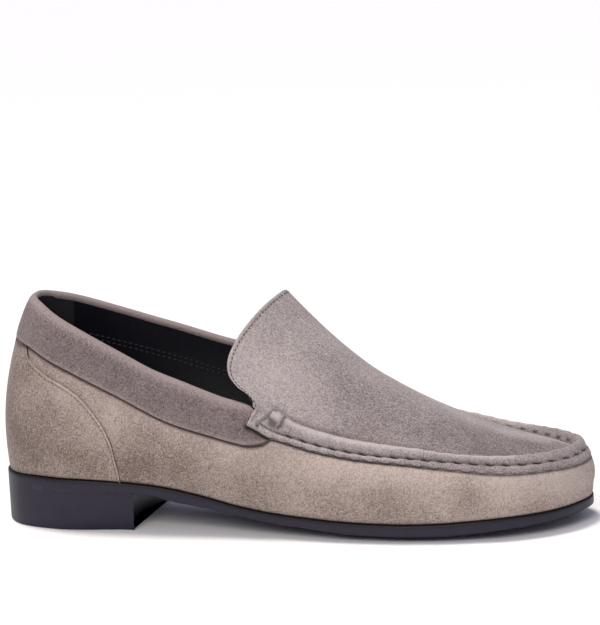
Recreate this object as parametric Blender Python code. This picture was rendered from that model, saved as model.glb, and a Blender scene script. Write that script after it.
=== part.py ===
"""Right elevator loafer in suede, standing empty on a flat floor.

Sizes are millimetres on the last: X runs from the back of the sole to the toe, Y is
across (negative is the outer side of the foot) and Z is up from the floor. A place
around the shoe is s: 0 at the back of the heel, -1 at the toe by the outer side and
+1 at the toe by the inner side.
"""
import bpy
import numpy as np

for old in list(bpy.data.objects):
    bpy.data.objects.remove(old, do_unlink=True)

MM = 0.001
GAP = 0.3            # clearance between neighbouring pieces
WALL = 2.2           # suede and lining together
FEATHER_INSET = 2.2  # the upper stands this far inside the sole's edge
THROAT_FOOT = 140.5  # column where the collar ends and the apron starts
COLLAR_FOOT = 137.5  # last column of the cuff
RIM_FOLD = 1.8       # the upper's own rim lies this far under the top of the cuff

# Sole edge seen from above, from the back round the outer side and the toe.
OUTLINE = (
    # x, y
    (0.0, 0.0), (9.0, -21.0), (30.0, -31.5), (72.0, -32.0), (107.0, -34.3),
    (147.0, -41.5), (187.0, -48.5), (212.0, -50.0), (242.0, -47.3), (269.0, -40.0),
    (289.0, -26.5), (300.5, -9.5), (305.0, 6.0), (302.0, 19.0), (291.0, 32.0),
    (271.0, 42.0), (246.0, 47.0), (220.0, 48.0), (190.0, 43.5), (160.0, 35.5),
    (130.0, 29.0), (100.0, 27.0), (70.0, 29.5), (30.0, 31.0), (9.0, 21.0),
)

# Outsole along its length.
SOLE = (
    # x, top, bottom under the middle, rise of the bottom at the edge
    (0.0, 26.4, 20.6, 0.0),
    (22.0, 26.9, 20.0, 0.0),
    (42.0, 26.4, 19.4, 0.0),
    (62.0, 25.1, 18.8, 0.0),
    (84.0, 23.3, 18.2, 0.0),
    (94.0, 21.9, 15.4, 0.2),
    (110.0, 18.8, 12.6, 0.6),
    (132.0, 14.2, 8.2, 1.3),
    (154.0, 11.4, 4.7, 1.8),
    (165.0, 10.7, 3.4, 2.3),
    (180.0, 9.8, 1.5, 2.9),
    (194.0, 9.2, 0.0, 3.4),
    (219.0, 8.8, 0.0, 2.8),
    (236.0, 9.1, 0.0, 2.9),
    (254.0, 10.1, 1.4, 2.5),
    (270.0, 10.9, 2.9, 2.1),
    (288.0, 11.3, 4.2, 1.8),
    (305.0, 11.6, 5.0, 1.8),
)
SEAT_BACK = 20.6     # underside of the sole on the heel, at the back
SEAT_FRONT = 18.2
SEAT_LENGTH = 84.0
FLAT_SHARE = 0.6     # part of the sole's half width that has no edge rise

# Top line of the wall: rim of the collar, then the crease at the apron's edge.
TOP_OUTER = (
    # foot x of the column, x, y, z
    (10.0, 22.8, -9.0, 115.9),
    (24.0, 33.2, -20.0, 111.3),
    (46.0, 51.2, -27.5, 102.9),
    (70.0, 73.2, -31.5, 92.2),
    (88.0, 89.2, -33.0, 84.2),
    (103.5, 103.8, -34.0, 78.7),
    (124.5, 124.7, -35.0, 71.0),
    (140.5, 140.8, -36.5, 66.2),
    (152.0, 152.2, -37.5, 58.7),
    (165.0, 165.4, -38.5, 53.9),
    (191.0, 191.3, -39.5, 48.0),
    (218.0, 216.5, -39.2, 44.0),
    (245.0, 241.4, -37.0, 41.2),
    (270.0, 264.7, -32.0, 39.4),
    (288.0, 281.8, -21.5, 38.3),
    (301.0, 294.5, -7.0, 38.6),
)
TOP_INNER = (
    # foot x of the column, x, y, z
    (10.0, 24.5, 8.0, 116.9),
    (20.0, 30.5, 14.0, 114.8),
    (34.0, 38.2, 20.0, 111.7),
    (56.0, 57.8, 26.0, 104.6),
    (72.0, 73.3, 29.0, 99.2),
    (87.0, 87.7, 30.5, 94.7),
    (108.0, 108.6, 31.5, 88.1),
    (124.0, 124.7, 32.5, 83.5),
    (140.5, 140.8, 34.0, 77.5),
    (152.0, 152.2, 34.8, 68.5),
    (165.0, 165.4, 35.5, 61.5),
    (191.0, 191.3, 37.8, 51.8),
    (218.0, 216.5, 38.8, 46.8),
    (243.0, 240.0, 38.0, 43.5),
    (262.0, 257.0, 35.0, 41.0),
    (281.0, 273.7, 29.0, 39.9),
    (298.0, 288.6, 19.5, 39.6),
)
TOP_BACK = (20.3, 0.0, 117.6)
TOP_TOE = (297.5, 7.0, 39.2)

# Swell of the wall between the sole and the top line.
SWELL = (
    # foot x, out at the low handle, out at the high handle, low share, high share
    (0.0, 2.2, 17.0, 0.28, 0.32),
    (12.0, 2.8, 13.0, 0.28, 0.32),
    (30.0, 3.6, 8.0, 0.29, 0.31),
    (60.0, 3.6, 3.5, 0.30, 0.30),
    (100.0, 4.0, 3.0, 0.31, 0.29),
    (140.0, 4.5, 5.0, 0.32, 0.26),
    (165.0, 5.0, 8.0, 0.33, 0.22),
    (218.0, 5.5, 11.5, 0.33, 0.21),
    (268.0, 5.0, 10.0, 0.32, 0.18),
    (305.0, 4.6, 9.6, 0.32, 0.15),
)

# Middle line of the apron, from the top of the tongue to the toe.
SPINE = (
    # x, y, z
    (152.6, 2.0, 118.0), (158.6, 2.0, 111.3), (170.4, 2.3, 98.9), (182.4, 2.7, 87.8),
    (194.4, 3.0, 78.2), (206.3, 3.5, 70.7), (218.4, 4.0, 63.7), (230.4, 4.5, 57.1),
    (242.4, 5.0, 51.0), (256.0, 5.3, 45.7), (268.9, 5.5, 42.6),
)

# How the apron leaves its edge, by share of the way from throat to toe.
APRON = (
    # share, inward, upward, sweep back outside, sweep back inside,
    # reach across and reach along at the middle line, fall to the inner side there
    (0.0, 0.0, 0.50, 28.0, 20.0, 0.50, 0.14, 0.18),
    (0.1, 0.10, 0.43, 16.0, 12.0, 0.47, 0.25, 0.20),
    (0.22, 0.20, 0.35, 4.0, 4.0, 0.45, 0.40, 0.20),
    (0.35, 0.25, 0.31, 0.0, 0.0, 0.42, 0.42, 0.20),
    (0.7, 0.28, 0.33, 0.0, 0.0, 0.41, 0.41, 0.14),
    (1.0, 0.30, 0.35, 0.0, 0.0, 0.40, 0.40, 0.03),
)
SPINE_POWER = 0.8    # spreads the apron's columns along the middle line

# The tongue's edge: a notch at the throat, a lobe over it and a corner on the middle line.
TONGUE = (
    # share of the way across, shift to the toe, shift up
    (0.0, 0.0, 0.0), (0.05, 3.4, 0.0), (0.10, 2.7, -0.1), (0.15, -0.2, -0.1),
    (0.20, -2.2, -0.3), (0.25, -2.7, -0.4), (0.30, -2.6, -0.5), (0.40, -1.7, -0.7),
    (0.60, -0.4, -0.8), (0.80, -0.5, -0.5), (1.0, -1.1, 0.8),
)
TONGUE_FADE = 0.12   # share of the way to the toe where the edge's shape has run out

# Trough of the apron beside the seam, which stands over it round the toe.
TROUGH = (
    # share of the way to the toe, depth
    (0.0, 0.0), (0.45, 0.0), (0.68, 2.1), (0.86, 3.6), (1.0, 3.7),
)
TROUGH_ACROSS = (
    # share of the way across, part of that depth
    (0.0, 0.0), (0.1, 0.9), (0.25, 0.56), (0.5, 0.1), (0.75, 0.0), (1.0, 0.0),
)

# Raised moccasin seam, by distance under the top line.
SEAM = (
    # distance, height
    (0.0, 0.0), (1.75, 1.5), (3.5, 2.1), (5.25, 1.5), (7.0, 0.2), (9.3, 1.3), (11.6, 0.0),
)
SEAM_START = 138.0   # foot x where the seam begins to rise
SEAM_FULL = 154.0

# Raised footbed inside the shoe.
FOOTBED = (
    # x, height over the outsole
    (0.0, 33.0), (40.0, 32.0), (72.0, 28.0), (104.0, 21.5), (136.0, 13.0),
    (166.0, 7.0), (196.0, 4.0), (305.0, 3.5),
)
FOOTBED_GAP = 0.45

HEEL_BREAST_OUTER = 74.5
HEEL_BREAST_INNER = 77.0
HEEL_HOLLOW = 7.0    # depth of the curve in the front of the heel
HEEL_TAPER = 0.2

# Section of the cuff round the rim, as pairs of its outer and inner skin.
CUFF = (
    # outer distance, outer offset, inner distance, inner offset
    (20.0, 0.9, 20.0, 0.3),
    (15.0, 1.7, 15.0, 0.3),
    (9.0, 1.9, 9.0, 0.3),
    (4.0, 1.7, 4.0, 0.3),
    (1.0, 1.0, 1.45, 0.3),
    (0.2, -1.1, 1.40, -1.1),
    (1.2, -3.3, 1.45, -2.5),
    (6.0, -3.6, 6.0, -2.55),
)
CUFF_FOLD = 4        # rows of the section that lie outside, below the fold
CUFF_WIDTH = (
    # foot x, width of the band down the outside
    (0.0, 23.0), (80.0, 23.0), (118.0, 20.5), (140.0, 19.0),
)

# Upper edge of the heel counter.
COUNTER_EDGE = (
    # foot x, z
    (0.0, 92.5), (12.0, 92.5), (15.0, 86.3), (27.0, 79.7), (42.5, 72.3),
    (54.3, 63.6), (62.0, 52.6), (65.2, 42.3), (66.9, 24.0),
)
COUNTER_ENDS = (60.0, 63.4, 65.4, 66.4)  # columns close to its front end
COUNTER_LOW = 0.4    # offsets from the upper's outer face
COUNTER_HIGH = 1.4

SHARP = 0.7          # radians: steeper edges stay sharp
BLACK = (0.016, 0.015, 0.019)
SUEDE = (0.37, 0.30, 0.27)
DARK_SUEDE = (0.21, 0.17, 0.165)


def column(rows, index):
    """One named column of a table as an array."""
    return np.array([row[index] for row in rows], float)


def smooth(xs, ys, x):
    """Cubic through a table's points that adds no bumps between them."""
    xs, ys, x = np.asarray(xs, float), np.asarray(ys, float), np.asarray(x, float)
    step = np.diff(xs)
    rise = np.diff(ys) / step
    slope = np.concatenate(([rise[0]], np.zeros(len(xs) - 2), [rise[-1]]))
    same = rise[:-1] * rise[1:] > 0
    w0, w1 = 2 * step[1:] + step[:-1], step[1:] + 2 * step[:-1]
    safe = np.where(same, rise[:-1], 1.0), np.where(same, rise[1:], 1.0)
    slope[1:-1] = np.where(same, (w0 + w1) / (w0 / safe[0] + w1 / safe[1]), 0.0)
    i = np.clip(np.searchsorted(xs, x, side="right") - 1, 0, len(xs) - 2)
    t = np.clip((x - xs[i]) / step[i], 0.0, 1.0)
    return (ys[i] * (1 + 2 * t) * (1 - t) ** 2 + ys[i + 1] * t * t * (3 - 2 * t)
            + step[i] * (slope[i] * t * (1 - t) ** 2 - slope[i + 1] * t * t * (1 - t)))


def ring_curve(ts, points, period, t):
    """Closed curve through points placed at parameters ts."""
    points = np.asarray(points, float)
    ts = np.concatenate((ts[-2:] - period, ts, ts[:2] + period))
    pts = np.concatenate((points[-2:], points, points[:2]))
    gap = np.diff(ts)[:, None]
    chord = np.diff(pts, axis=0) / gap
    slope = np.zeros_like(pts)
    slope[1:-1] = (chord[:-1] * gap[1:] + chord[1:] * gap[:-1]) / (gap[1:] + gap[:-1])
    t = (np.asarray(t, float) - ts[2]) % period + ts[2]
    i = np.clip(np.searchsorted(ts, t, side="right") - 1, 1, len(ts) - 3)
    h = gap[i]
    w = ((t - ts[i])[..., None]) / h
    return (pts[i] * (1 + 2 * w) * (1 - w) ** 2 + pts[i + 1] * w * w * (3 - 2 * w)
            + h * (slope[i] * w * (1 - w) ** 2 - slope[i + 1] * w * w * (1 - w)))


def sampled_outline():
    """Outline points, outward normals and s for each half of the sole's edge."""
    points = np.array(OUTLINE)
    chord = np.linalg.norm(np.diff(np.vstack((points, points[:1])), axis=0), axis=1)
    ts = np.concatenate(([0.0], np.cumsum(chord)[:-1]))
    dense = ring_curve(ts, points, chord.sum(), np.linspace(0, chord.sum(), 1600, False))
    along = np.roll(dense, -1, axis=0) - np.roll(dense, 1, axis=0)
    normal = np.stack((along[:, 1], -along[:, 0]), axis=1)
    normal /= np.linalg.norm(normal, axis=1)[:, None]
    centre = dense.mean(axis=0)
    if np.sum((dense - centre) * normal) < 0:
        normal = -normal
    toe = int(np.argmax(dense[:, 0]))
    halves = {}
    for side, order in ((-1, np.arange(0, toe + 1)),
                        (1, np.concatenate(([0], np.arange(1599, toe - 1, -1))))):
        xy = dense[order]
        run = np.concatenate(([0.0], np.cumsum(np.linalg.norm(np.diff(xy, axis=0), axis=1))))
        halves[side] = (run / run[-1], xy, normal[order])
    return halves


HALVES = sampled_outline()


def on_edge(s):
    """Sole edge point and outward normal for each s."""
    s = np.asarray(s, float)
    xy = np.zeros(s.shape + (2,))
    normal = np.zeros(s.shape + (2,))
    for side in (-1, 1):
        k, points, normals = HALVES[side]
        pick = s < 0 if side < 0 else s >= 0
        for axis in (0, 1):
            xy[pick, axis] = np.interp(np.abs(s[pick]), k, points[:, axis])
            normal[pick, axis] = np.interp(np.abs(s[pick]), k, normals[:, axis])
    return xy, normal / np.linalg.norm(normal, axis=-1)[..., None]


def s_at(foot_x, side):
    """The s whose sole edge lies at foot_x on one side."""
    k, points, _ = HALVES[side]
    return side * np.interp(foot_x, points[:, 0], k)


def sole_top(x):
    return smooth(column(SOLE, 0), column(SOLE, 1), x)


def sole_bottom(x):
    """Bottom under the middle of the sole; the heel's seat is a flat slope."""
    seat = SEAT_BACK - (SEAT_BACK - SEAT_FRONT) * np.asarray(x, float) / SEAT_LENGTH
    low = smooth(column(SOLE, 0), column(SOLE, 2), x)
    return np.where(np.asarray(x) < SEAT_LENGTH, seat, low)


def edge_rise(x):
    return smooth(column(SOLE, 0), column(SOLE, 3), x)


def top_line_table():
    rows = [(0.0, TOP_BACK), (-1.0, TOP_TOE)]
    rows += [(s_at(row[0], -1), row[1:]) for row in TOP_OUTER]
    rows += [(s_at(row[0], 1), row[1:]) for row in TOP_INNER]
    rows.sort(key=lambda row: row[0])
    return np.array([row[0] for row in rows]), np.array([row[1] for row in rows])


TOP_S, TOP_POINTS = top_line_table()


def bezier(p0, p1, p2, p3, t):
    t = np.asarray(t, float)[..., None]
    return (p0 * (1 - t) ** 3 + 3 * p1 * t * (1 - t) ** 2
            + 3 * p2 * t * t * (1 - t) + p3 * t ** 3)


def wall_columns(s):
    """Each column of the wall as 81 points from the top line down to the sole."""
    s = np.asarray(s, float).ravel()
    xy, normal = on_edge(s)
    foot_x = xy[:, 0]
    foot = np.zeros((len(s), 3))
    foot[:, :2] = xy - FEATHER_INSET * normal
    foot[:, 2] = sole_top(foot_x) + GAP
    top = ring_curve(TOP_S, TOP_POINTS, 2.0, s)
    out = np.zeros((len(s), 3))
    out[:, :2] = normal
    height = (top[:, 2] - foot[:, 2])[:, None]
    up = np.array([0.0, 0.0, 1.0])
    low_out, high_out, low_up, high_up = (
        smooth(column(SWELL, 0), column(SWELL, i), foot_x)[:, None] for i in (1, 2, 3, 4))
    low = foot + out * low_out + up * height * low_up
    high = top + out * high_out - up * height * high_up
    t = np.linspace(1.0, 0.0, 81)
    pts = bezier(foot[:, None], low[:, None], high[:, None], top[:, None], t[None, :])
    run = np.cumsum(np.linalg.norm(np.diff(pts, axis=1), axis=2), axis=1)
    run = np.concatenate((np.zeros((len(s), 1)), run), axis=1)
    return pts, run, out


def wall(s, d):
    """Outer face of the wall at distance d under the top line."""
    s, d = np.broadcast_arrays(np.asarray(s, float), np.asarray(d, float))
    pts, run, _ = wall_columns(s)
    flat = d.ravel()
    result = np.stack([[np.interp(flat[n], run[n], pts[n, :, axis]) for axis in range(3)]
                       for n in range(len(flat))])
    return result.reshape(s.shape + (3,))


def wall_normal(s, d):
    """Unit vector out of the wall."""
    along = wall(s + 0.004, d) - wall(s - 0.004, d)
    down = wall(s, d + 0.4) - wall(s, np.maximum(d - 0.4, 0.0))
    out = np.cross(along, down)
    out /= np.linalg.norm(out, axis=-1)[..., None]
    middle = np.array([152.0, 0.0, 0.0])
    flip = np.sum((wall(s, d) - middle)[..., :2] * out[..., :2], axis=-1) < 0
    return np.where(flip[..., None], -out, out)


def wall_length(s):
    return wall_columns(s)[1][:, -1]


def depth_at_height(s, z):
    """Distance under the top line where each column reaches height z."""
    pts, run, _ = wall_columns(s)
    z = np.broadcast_to(np.asarray(z, float), (len(pts),))
    return np.array([np.interp(-z[n], -pts[n, :, 2], run[n]) for n in range(len(pts))])


def seam_rise(foot_x, d):
    """Height of the raised seam on the wall."""
    start = np.clip((foot_x - SEAM_START) / (SEAM_FULL - SEAM_START), 0.0, 1.0)
    return start * start * (3 - 2 * start) * smooth(column(SEAM, 0), column(SEAM, 1), d)


SPINE_POINTS = np.array(SPINE)
SPINE_RUN = np.concatenate(([0.0], np.cumsum(
    np.linalg.norm(np.diff(SPINE_POINTS, axis=0), axis=1))))


def spine(u):
    """Middle line of the apron, 0 at the tongue's top and 1 at its front end."""
    run = np.asarray(u, float) * SPINE_RUN[-1]
    return np.stack([smooth(SPINE_RUN, SPINE_POINTS[:, i], run) for i in range(3)], axis=-1)


K_THROAT = {side: abs(s_at(THROAT_FOOT, side)) for side in (-1, 1)}


def apron(s, w):
    """Apron and tongue: w is 0 at the wall's top line and 1 at the middle line."""
    s, w = np.broadcast_arrays(np.asarray(s, float), np.asarray(w, float))
    start = np.where(s < 0, K_THROAT[-1], K_THROAT[1])
    share = np.clip((np.abs(s) - start) / (1.0 - start), 0.0, 1.0)
    u = share ** SPINE_POWER
    edge = ring_curve(TOP_S, TOP_POINTS, 2.0, s)
    mid = spine(u)
    ahead = spine(np.minimum(u + 0.01, 1.0)) - spine(np.minimum(u + 0.01, 1.0) - 0.02)
    fall = ahead[..., 2] / ahead[..., 0]
    inward, upward, outside, inside, reach, along, tilt = (
        smooth(column(APRON, 0), column(APRON, i), share) for i in range(1, 8))
    span = mid - edge
    low = edge + span * np.stack((inward, inward, upward), axis=-1)
    low[..., 0] -= np.where(s < 0, outside, inside)
    step = -span * np.stack((along, reach, 0 * reach), axis=-1)
    step[..., 2] = fall * step[..., 0] - tilt * step[..., 1]
    made = bezier(edge, low, mid + step, mid, w)
    fade = np.clip(1.0 - share / TONGUE_FADE, 0.0, 1.0) ** 2
    for axis, shift in ((0, 1), (2, 2)):
        made[..., axis] += fade * smooth(column(TONGUE, 0), column(TONGUE, shift), w)
    depth = smooth(column(TROUGH, 0), column(TROUGH, 1), share)
    made[..., 2] -= depth * smooth(column(TROUGH_ACROSS, 0), column(TROUGH_ACROSS, 1), w)
    return made


def column_places(rear=15, front=18):
    """s of each column: closer together round the heel and the toe, one at the cuff's end."""
    places = {}
    for side in (-1, 1):
        k = K_THROAT[side]
        back = k * np.linspace(0, 1, rear + 1) ** 1.35
        back = np.insert(back, rear, abs(s_at(COLLAR_FOOT, side)))
        fore = 1 - (1 - k) * (1 - np.linspace(0, 1, front + 1)) ** 1.3
        places[side] = np.concatenate((back, fore[1:]))
    return places, rear + 1, front


PLACES, REAR, FRONT = column_places()
RUNGS = REAR + FRONT


def ring_places():
    """Columns in one closed order: toe, outer side, heel, inner side."""
    return np.concatenate((-PLACES[-1][::-1], PLACES[1][1:-1]))


def face_normals_at_points(verts, faces):
    out = np.zeros_like(verts)
    for face in faces:
        p = verts[list(face)]
        n = np.zeros(3)
        for i in range(1, len(face) - 1):
            n += np.cross(p[i] - p[0], p[i + 1] - p[0])
        for i in face:
            out[i] += n
    return out / np.linalg.norm(out, axis=1)[:, None]


def thick_shell(outer, inner, faces):
    """Closed solid between two skins that share their faces."""
    count = len(outer)
    faces = [tuple(face) for face in faces]
    edges = {}
    for face in faces:
        for a, b in zip(face, face[1:] + face[:1]):
            edges[(a, b)] = edges.get((a, b), 0) + 1
    rim = [(a, b) for (a, b) in edges if (b, a) not in edges]
    solid = list(faces)
    solid += [tuple(i + count for i in reversed(face)) for face in faces]
    solid += [(b, a, a + count, b + count) for a, b in rim]
    return np.vstack((outer, inner)), solid


def quad(a, b, c, d):
    """A quad, or a triangle where two of its corners are one point."""
    corners = []
    for i in (a, b, c, d):
        if i not in corners:
            corners.append(i)
    return tuple(corners)


def make_upper():
    ring = ring_places()
    count = len(ring)
    foot_x = on_edge(ring)[0][:, 0]
    length = wall_length(ring)
    in_front = np.array([abs(s) >= K_THROAT[-1 if s < 0 else 1] - 1e-9 for s in ring])
    seam_rows = column(SEAM, 0)
    low_rows = np.linspace(0, 1, 8)[1:]
    base, raised, faces = [], [], []
    rows = len(seam_rows) + len(low_rows)
    for r in range(rows):
        if r < len(seam_rows):
            start = np.where(in_front, 0.0, RIM_FOLD)
            d = start + seam_rows[r] * (seam_rows[-1] - start) / seam_rows[-1]
        else:
            d = seam_rows[-1] + (length - seam_rows[-1]) * low_rows[r - len(seam_rows)]
        base.append(wall(ring, d))
        raised.append(seam_rise(foot_x, d) if r < len(seam_rows) else np.zeros(count))
    for r in range(rows - 1):
        for i in range(count):
            j = (i + 1) % count
            faces.append((r * count + i, (r + 1) * count + i, (r + 1) * count + j, r * count + j))
    points = list(np.concatenate(base))
    lift = list(np.concatenate(raised))
    apron_rows = 10
    spine_id, ids = {}, {}
    for i in np.flatnonzero(in_front):
        s = ring[i]
        side = -1 if s < 0 else 1
        rung = int(np.argmin(np.abs(PLACES[side] - abs(s)))) - REAR
        column_points = apron(np.full(apron_rows + 1, s), np.linspace(0, 1, apron_rows + 1))
        ids[i] = [i]
        for w in range(1, apron_rows):
            ids[i].append(len(points))
            points.append(column_points[w])
            lift.append(0.0)
        if rung not in spine_id:
            spine_id[rung] = len(points)
            points.append(column_points[-1])
            lift.append(0.0)
        ids[i].append(spine_id[rung])
    for i in ids:
        j = (i + 1) % count
        if j not in ids:
            continue
        for w in range(apron_rows):
            faces.append(quad(ids[i][w], ids[j][w], ids[j][w + 1], ids[i][w + 1]))
    points, lift = np.array(points), np.array(lift)
    faces = [face[::-1] for face in faces]
    normal = face_normals_at_points(points, faces)
    if np.sum(normal[:count, :2] * (points[:count, :2] - (150.0, 0.0))) < 0:
        faces = [face[::-1] for face in faces]
        normal = -normal
    foot = slice((rows - 1) * count, rows * count)
    normal[foot, :2] = on_edge(ring)[1]
    normal[foot, 2] = 0.0
    return thick_shell(points + normal * lift[:, None], points - normal * WALL, faces)


def grid_faces(columns, rows):
    return [(c * rows + r, (c + 1) * rows + r, (c + 1) * rows + r + 1, c * rows + r + 1)
            for c in range(columns - 1) for r in range(rows - 1)]


def facing_out(outer, inner, faces):
    """The same skin with its faces turned away from the inner skin."""
    normal = face_normals_at_points(outer, faces)
    if np.sum(normal * (outer - inner)) < 0:
        return [face[::-1] for face in faces]
    return faces


def make_cuff():
    ring = ring_places()
    foot_x = on_edge(ring)[0][:, 0]
    s = ring[foot_x <= COLLAR_FOOT + 0.1]
    wide = smooth(column(CUFF_WIDTH, 0), column(CUFF_WIDTH, 1), foot_x[foot_x <= COLLAR_FOOT + 0.1])
    skins = []
    for distance, offset in ((0, 1), (2, 3)):
        d = np.tile(column(CUFF, distance), (len(s), 1))
        d[:, :CUFF_FOLD] *= (wide / CUFF[0][0])[:, None]
        place = np.tile(s[:, None], (1, len(CUFF)))
        skins.append((wall(place, d) + wall_normal(place, d) * column(CUFF, offset)[None, :, None])
                     .reshape(-1, 3))
    faces = facing_out(skins[0], skins[1], grid_faces(len(s), len(CUFF)))
    return thick_shell(skins[0], skins[1], faces)


def make_counter():
    """Panel round the back of the heel, on the columns of the upper."""
    rows = 8
    ring = ring_places()
    kept = list(ring[on_edge(ring)[0][:, 0] < COUNTER_ENDS[0] - 3.0])
    kept += [s_at(foot, side) for foot in COUNTER_ENDS for side in (-1, 1)]
    places = np.array(sorted(kept))
    foot_x = on_edge(places)[0][:, 0]
    low = sole_top(foot_x) + GAP + 0.4
    high = smooth(column(COUNTER_EDGE, 0), column(COUNTER_EDGE, 1), foot_x)
    skins = ([], [])
    for s, start, end in zip(places, low, high):
        place = np.full(rows, s)
        d = depth_at_height(place, np.linspace(start, end, rows))
        point, normal = wall(place, d), wall_normal(place, d)
        skins[0].append(point + COUNTER_HIGH * normal)
        skins[1].append(point + COUNTER_LOW * normal)
    outer, inner = np.concatenate(skins[0]), np.concatenate(skins[1])
    faces = facing_out(outer, inner, grid_faces(len(places), rows))
    return thick_shell(outer, inner, faces)


def rung_grid(places_outer, places_inner, shares, inset):
    """Plan points across the shoe: one row for each pair of columns, ends as one point."""
    rows = []
    for ko, ki in zip(places_outer, places_inner):
        ends = []
        for s in (-ko, ki):
            xy, normal = on_edge(np.array([s]))
            ends.append(xy[0] - inset * normal[0])
        mix = (shares[:, None] + 1) / 2
        rows.append(ends[0] * (1 - mix) + ends[1] * mix)
    return np.array(rows)


def rung_faces(rows, across, pointed_ends):
    """Faces of a rung grid whose first and last rows may be one point each."""
    def at(r, a):
        if r in pointed_ends:
            return r * across
        return r * across + a
    return [quad(at(r, a), at(r, a + 1), at(r + 1, a + 1), at(r + 1, a))
            for r in range(rows - 1) for a in range(across - 1)]


def pack_points(points, faces):
    """Drop the points that no face uses."""
    used = sorted({i for face in faces for i in face})
    number = {old: new for new, old in enumerate(used)}
    return points[used], [tuple(number[i] for i in face) for face in faces]


def solid_between(top, bottom, faces):
    top, packed = pack_points(top, faces)
    bottom, _ = pack_points(bottom, faces)
    return thick_shell(top, bottom, facing_out(top, bottom, packed))


def make_outsole():
    shares = np.array([-1.0, -0.87, -0.74, -0.6, -0.2, 0.2, 0.6, 0.74, 0.87, 1.0])
    plan = rung_grid(PLACES[-1], PLACES[1], shares, 0.0)
    rows, across = plan.shape[:2]
    faces = rung_faces(rows, across, (0, rows - 1))
    x = plan[..., 0]
    edge = np.clip((np.abs(shares) - FLAT_SHARE) / (1 - FLAT_SHARE), 0.0, 1.0)[None, :]
    edge = np.repeat(edge, rows, axis=0)
    edge[0], edge[-1] = 1.0, 1.0
    top = np.concatenate((plan, sole_top(x)[..., None]), axis=-1)
    low = sole_bottom(x) + edge_rise(x) * edge ** 1.6
    bottom = np.concatenate((plan, low[..., None]), axis=-1)
    return solid_between(top.reshape(-1, 3), bottom.reshape(-1, 3), faces)


def make_heel():
    rows, across = 13, 9
    shares = np.linspace(-1.0, 1.0, across)
    step = np.linspace(0, 1, rows) ** 1.25
    plan = rung_grid(step * abs(s_at(HEEL_BREAST_OUTER, -1)), step * s_at(HEEL_BREAST_INNER, 1),
                     shares, 0.0)
    low = rung_grid(step * abs(s_at(HEEL_BREAST_OUTER, -1)), step * s_at(HEEL_BREAST_INNER, 1),
                    shares, HEEL_TAPER)
    hollow = HEEL_HOLLOW * (step ** 3)[:, None] * (1 - shares ** 2)[None, :]
    plan[..., 0] -= hollow
    low[..., 0] -= hollow
    faces = rung_faces(rows, across, (0,))
    top = np.concatenate((plan, (sole_bottom(plan[..., 0]) - GAP)[..., None]), axis=-1)
    bottom = np.concatenate((low, np.zeros(low.shape[:2] + (1,))), axis=-1)
    return solid_between(top.reshape(-1, 3), bottom.reshape(-1, 3), faces)


def make_insole():
    """Raised footbed: its side follows the inside of the wall."""
    ring = ring_places()
    count = len(ring)
    xy, normal = on_edge(ring)
    inside = WALL + FOOTBED_GAP
    plan = xy - (FEATHER_INSET + inside) * normal
    floor = sole_top(plan[:, 0]) + GAP
    lift = smooth(column(FOOTBED, 0), column(FOOTBED, 1), xy[:, 0])
    rings = []
    for share in (0.0, 0.35, 0.7, 1.0):
        level = floor + share * (lift - GAP)
        if share == 0.0:
            point = np.column_stack((plan, floor))
        else:
            d = depth_at_height(ring, level)
            point = wall(ring, d) - inside * wall_normal(ring, d)
            point[:, 2] = level
        rings.append(point)
    points = np.concatenate(rings)
    faces = []
    for r in range(len(rings) - 1):
        for i in range(count):
            j = (i + 1) % count
            faces.append((r * count + i, r * count + j, (r + 1) * count + j, (r + 1) * count + i))
    heel = RUNGS
    for base, turn in ((0, 1), ((len(rings) - 1) * count, -1)):
        for k in range(RUNGS):
            outer = (heel - k) % count, (heel - k - 1) % count
            inner = (heel + k) % count, (heel + k + 1) % count
            face = quad(base + outer[0], base + outer[1], base + inner[1], base + inner[0])
            faces.append(face[::turn])
    return points, facing_closed(points, faces)


def facing_closed(points, faces):
    """Closed faces turned outward by the sign of their volume."""
    volume = 0.0
    for face in faces:
        for i in range(1, len(face) - 1):
            volume += np.dot(points[face[0]], np.cross(points[face[i]], points[face[i + 1]]))
    return [face[::-1] for face in faces] if volume < 0 else faces


def material(name, colour, roughness):
    made = bpy.data.materials.new(name)
    made.use_nodes = True
    shader = made.node_tree.nodes["Principled BSDF"]
    shader.inputs["Base Color"].default_value = (*colour, 1.0)
    shader.inputs["Roughness"].default_value = roughness
    return made


PIECES = (
    # name, points and faces, colour, roughness
    ("outsole", make_outsole(), BLACK, 0.45),
    ("heel_block", make_heel(), BLACK, 0.45),
    ("insole", make_insole(), BLACK, 0.6),
    ("upper", make_upper(), SUEDE, 0.9),
    ("collar_cuff", make_cuff(), DARK_SUEDE, 0.9),
    ("heel_counter", make_counter(), SUEDE, 0.9),
)


def build():
    """Place every piece with the middle of the whole shoe's footprint at the origin."""
    every = np.vstack([made[0] for _, made, _, _ in PIECES])
    low, high = every.min(axis=0), every.max(axis=0)
    shift = np.array([(low[0] + high[0]) / 2, (low[1] + high[1]) / 2, low[2]])
    for name, (points, faces), colour, roughness in PIECES:
        mesh = bpy.data.meshes.new(name)
        mesh.from_pydata(((points - shift) * MM).tolist(), [], faces)
        mesh.validate()
        mesh.shade_smooth()
        mesh.set_sharp_from_angle(angle=SHARP)
        piece = bpy.data.objects.new(name, mesh)
        bpy.context.collection.objects.link(piece)
        mesh.materials.append(material(name, colour, roughness))


build()
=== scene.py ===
"""Right elevator loafer in taupe suede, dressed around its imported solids.

Sizes in the tables are millimetres on the last: X runs from the back of the sole to the
toe, Y is across (negative is the outer side of the foot) and Z is up from the floor. A
place around the shoe is s: 0 at the back of the heel, -1 at the toe by the outer side
and +1 at the toe by the inner side. A depth d is measured down the wall from its top
line, which is the rim of the collar and, in front of it, the apron's edge.
"""
import math
from types import SimpleNamespace

import bmesh
import bpy
import numpy as np
from mathutils import Matrix, Vector


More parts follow.
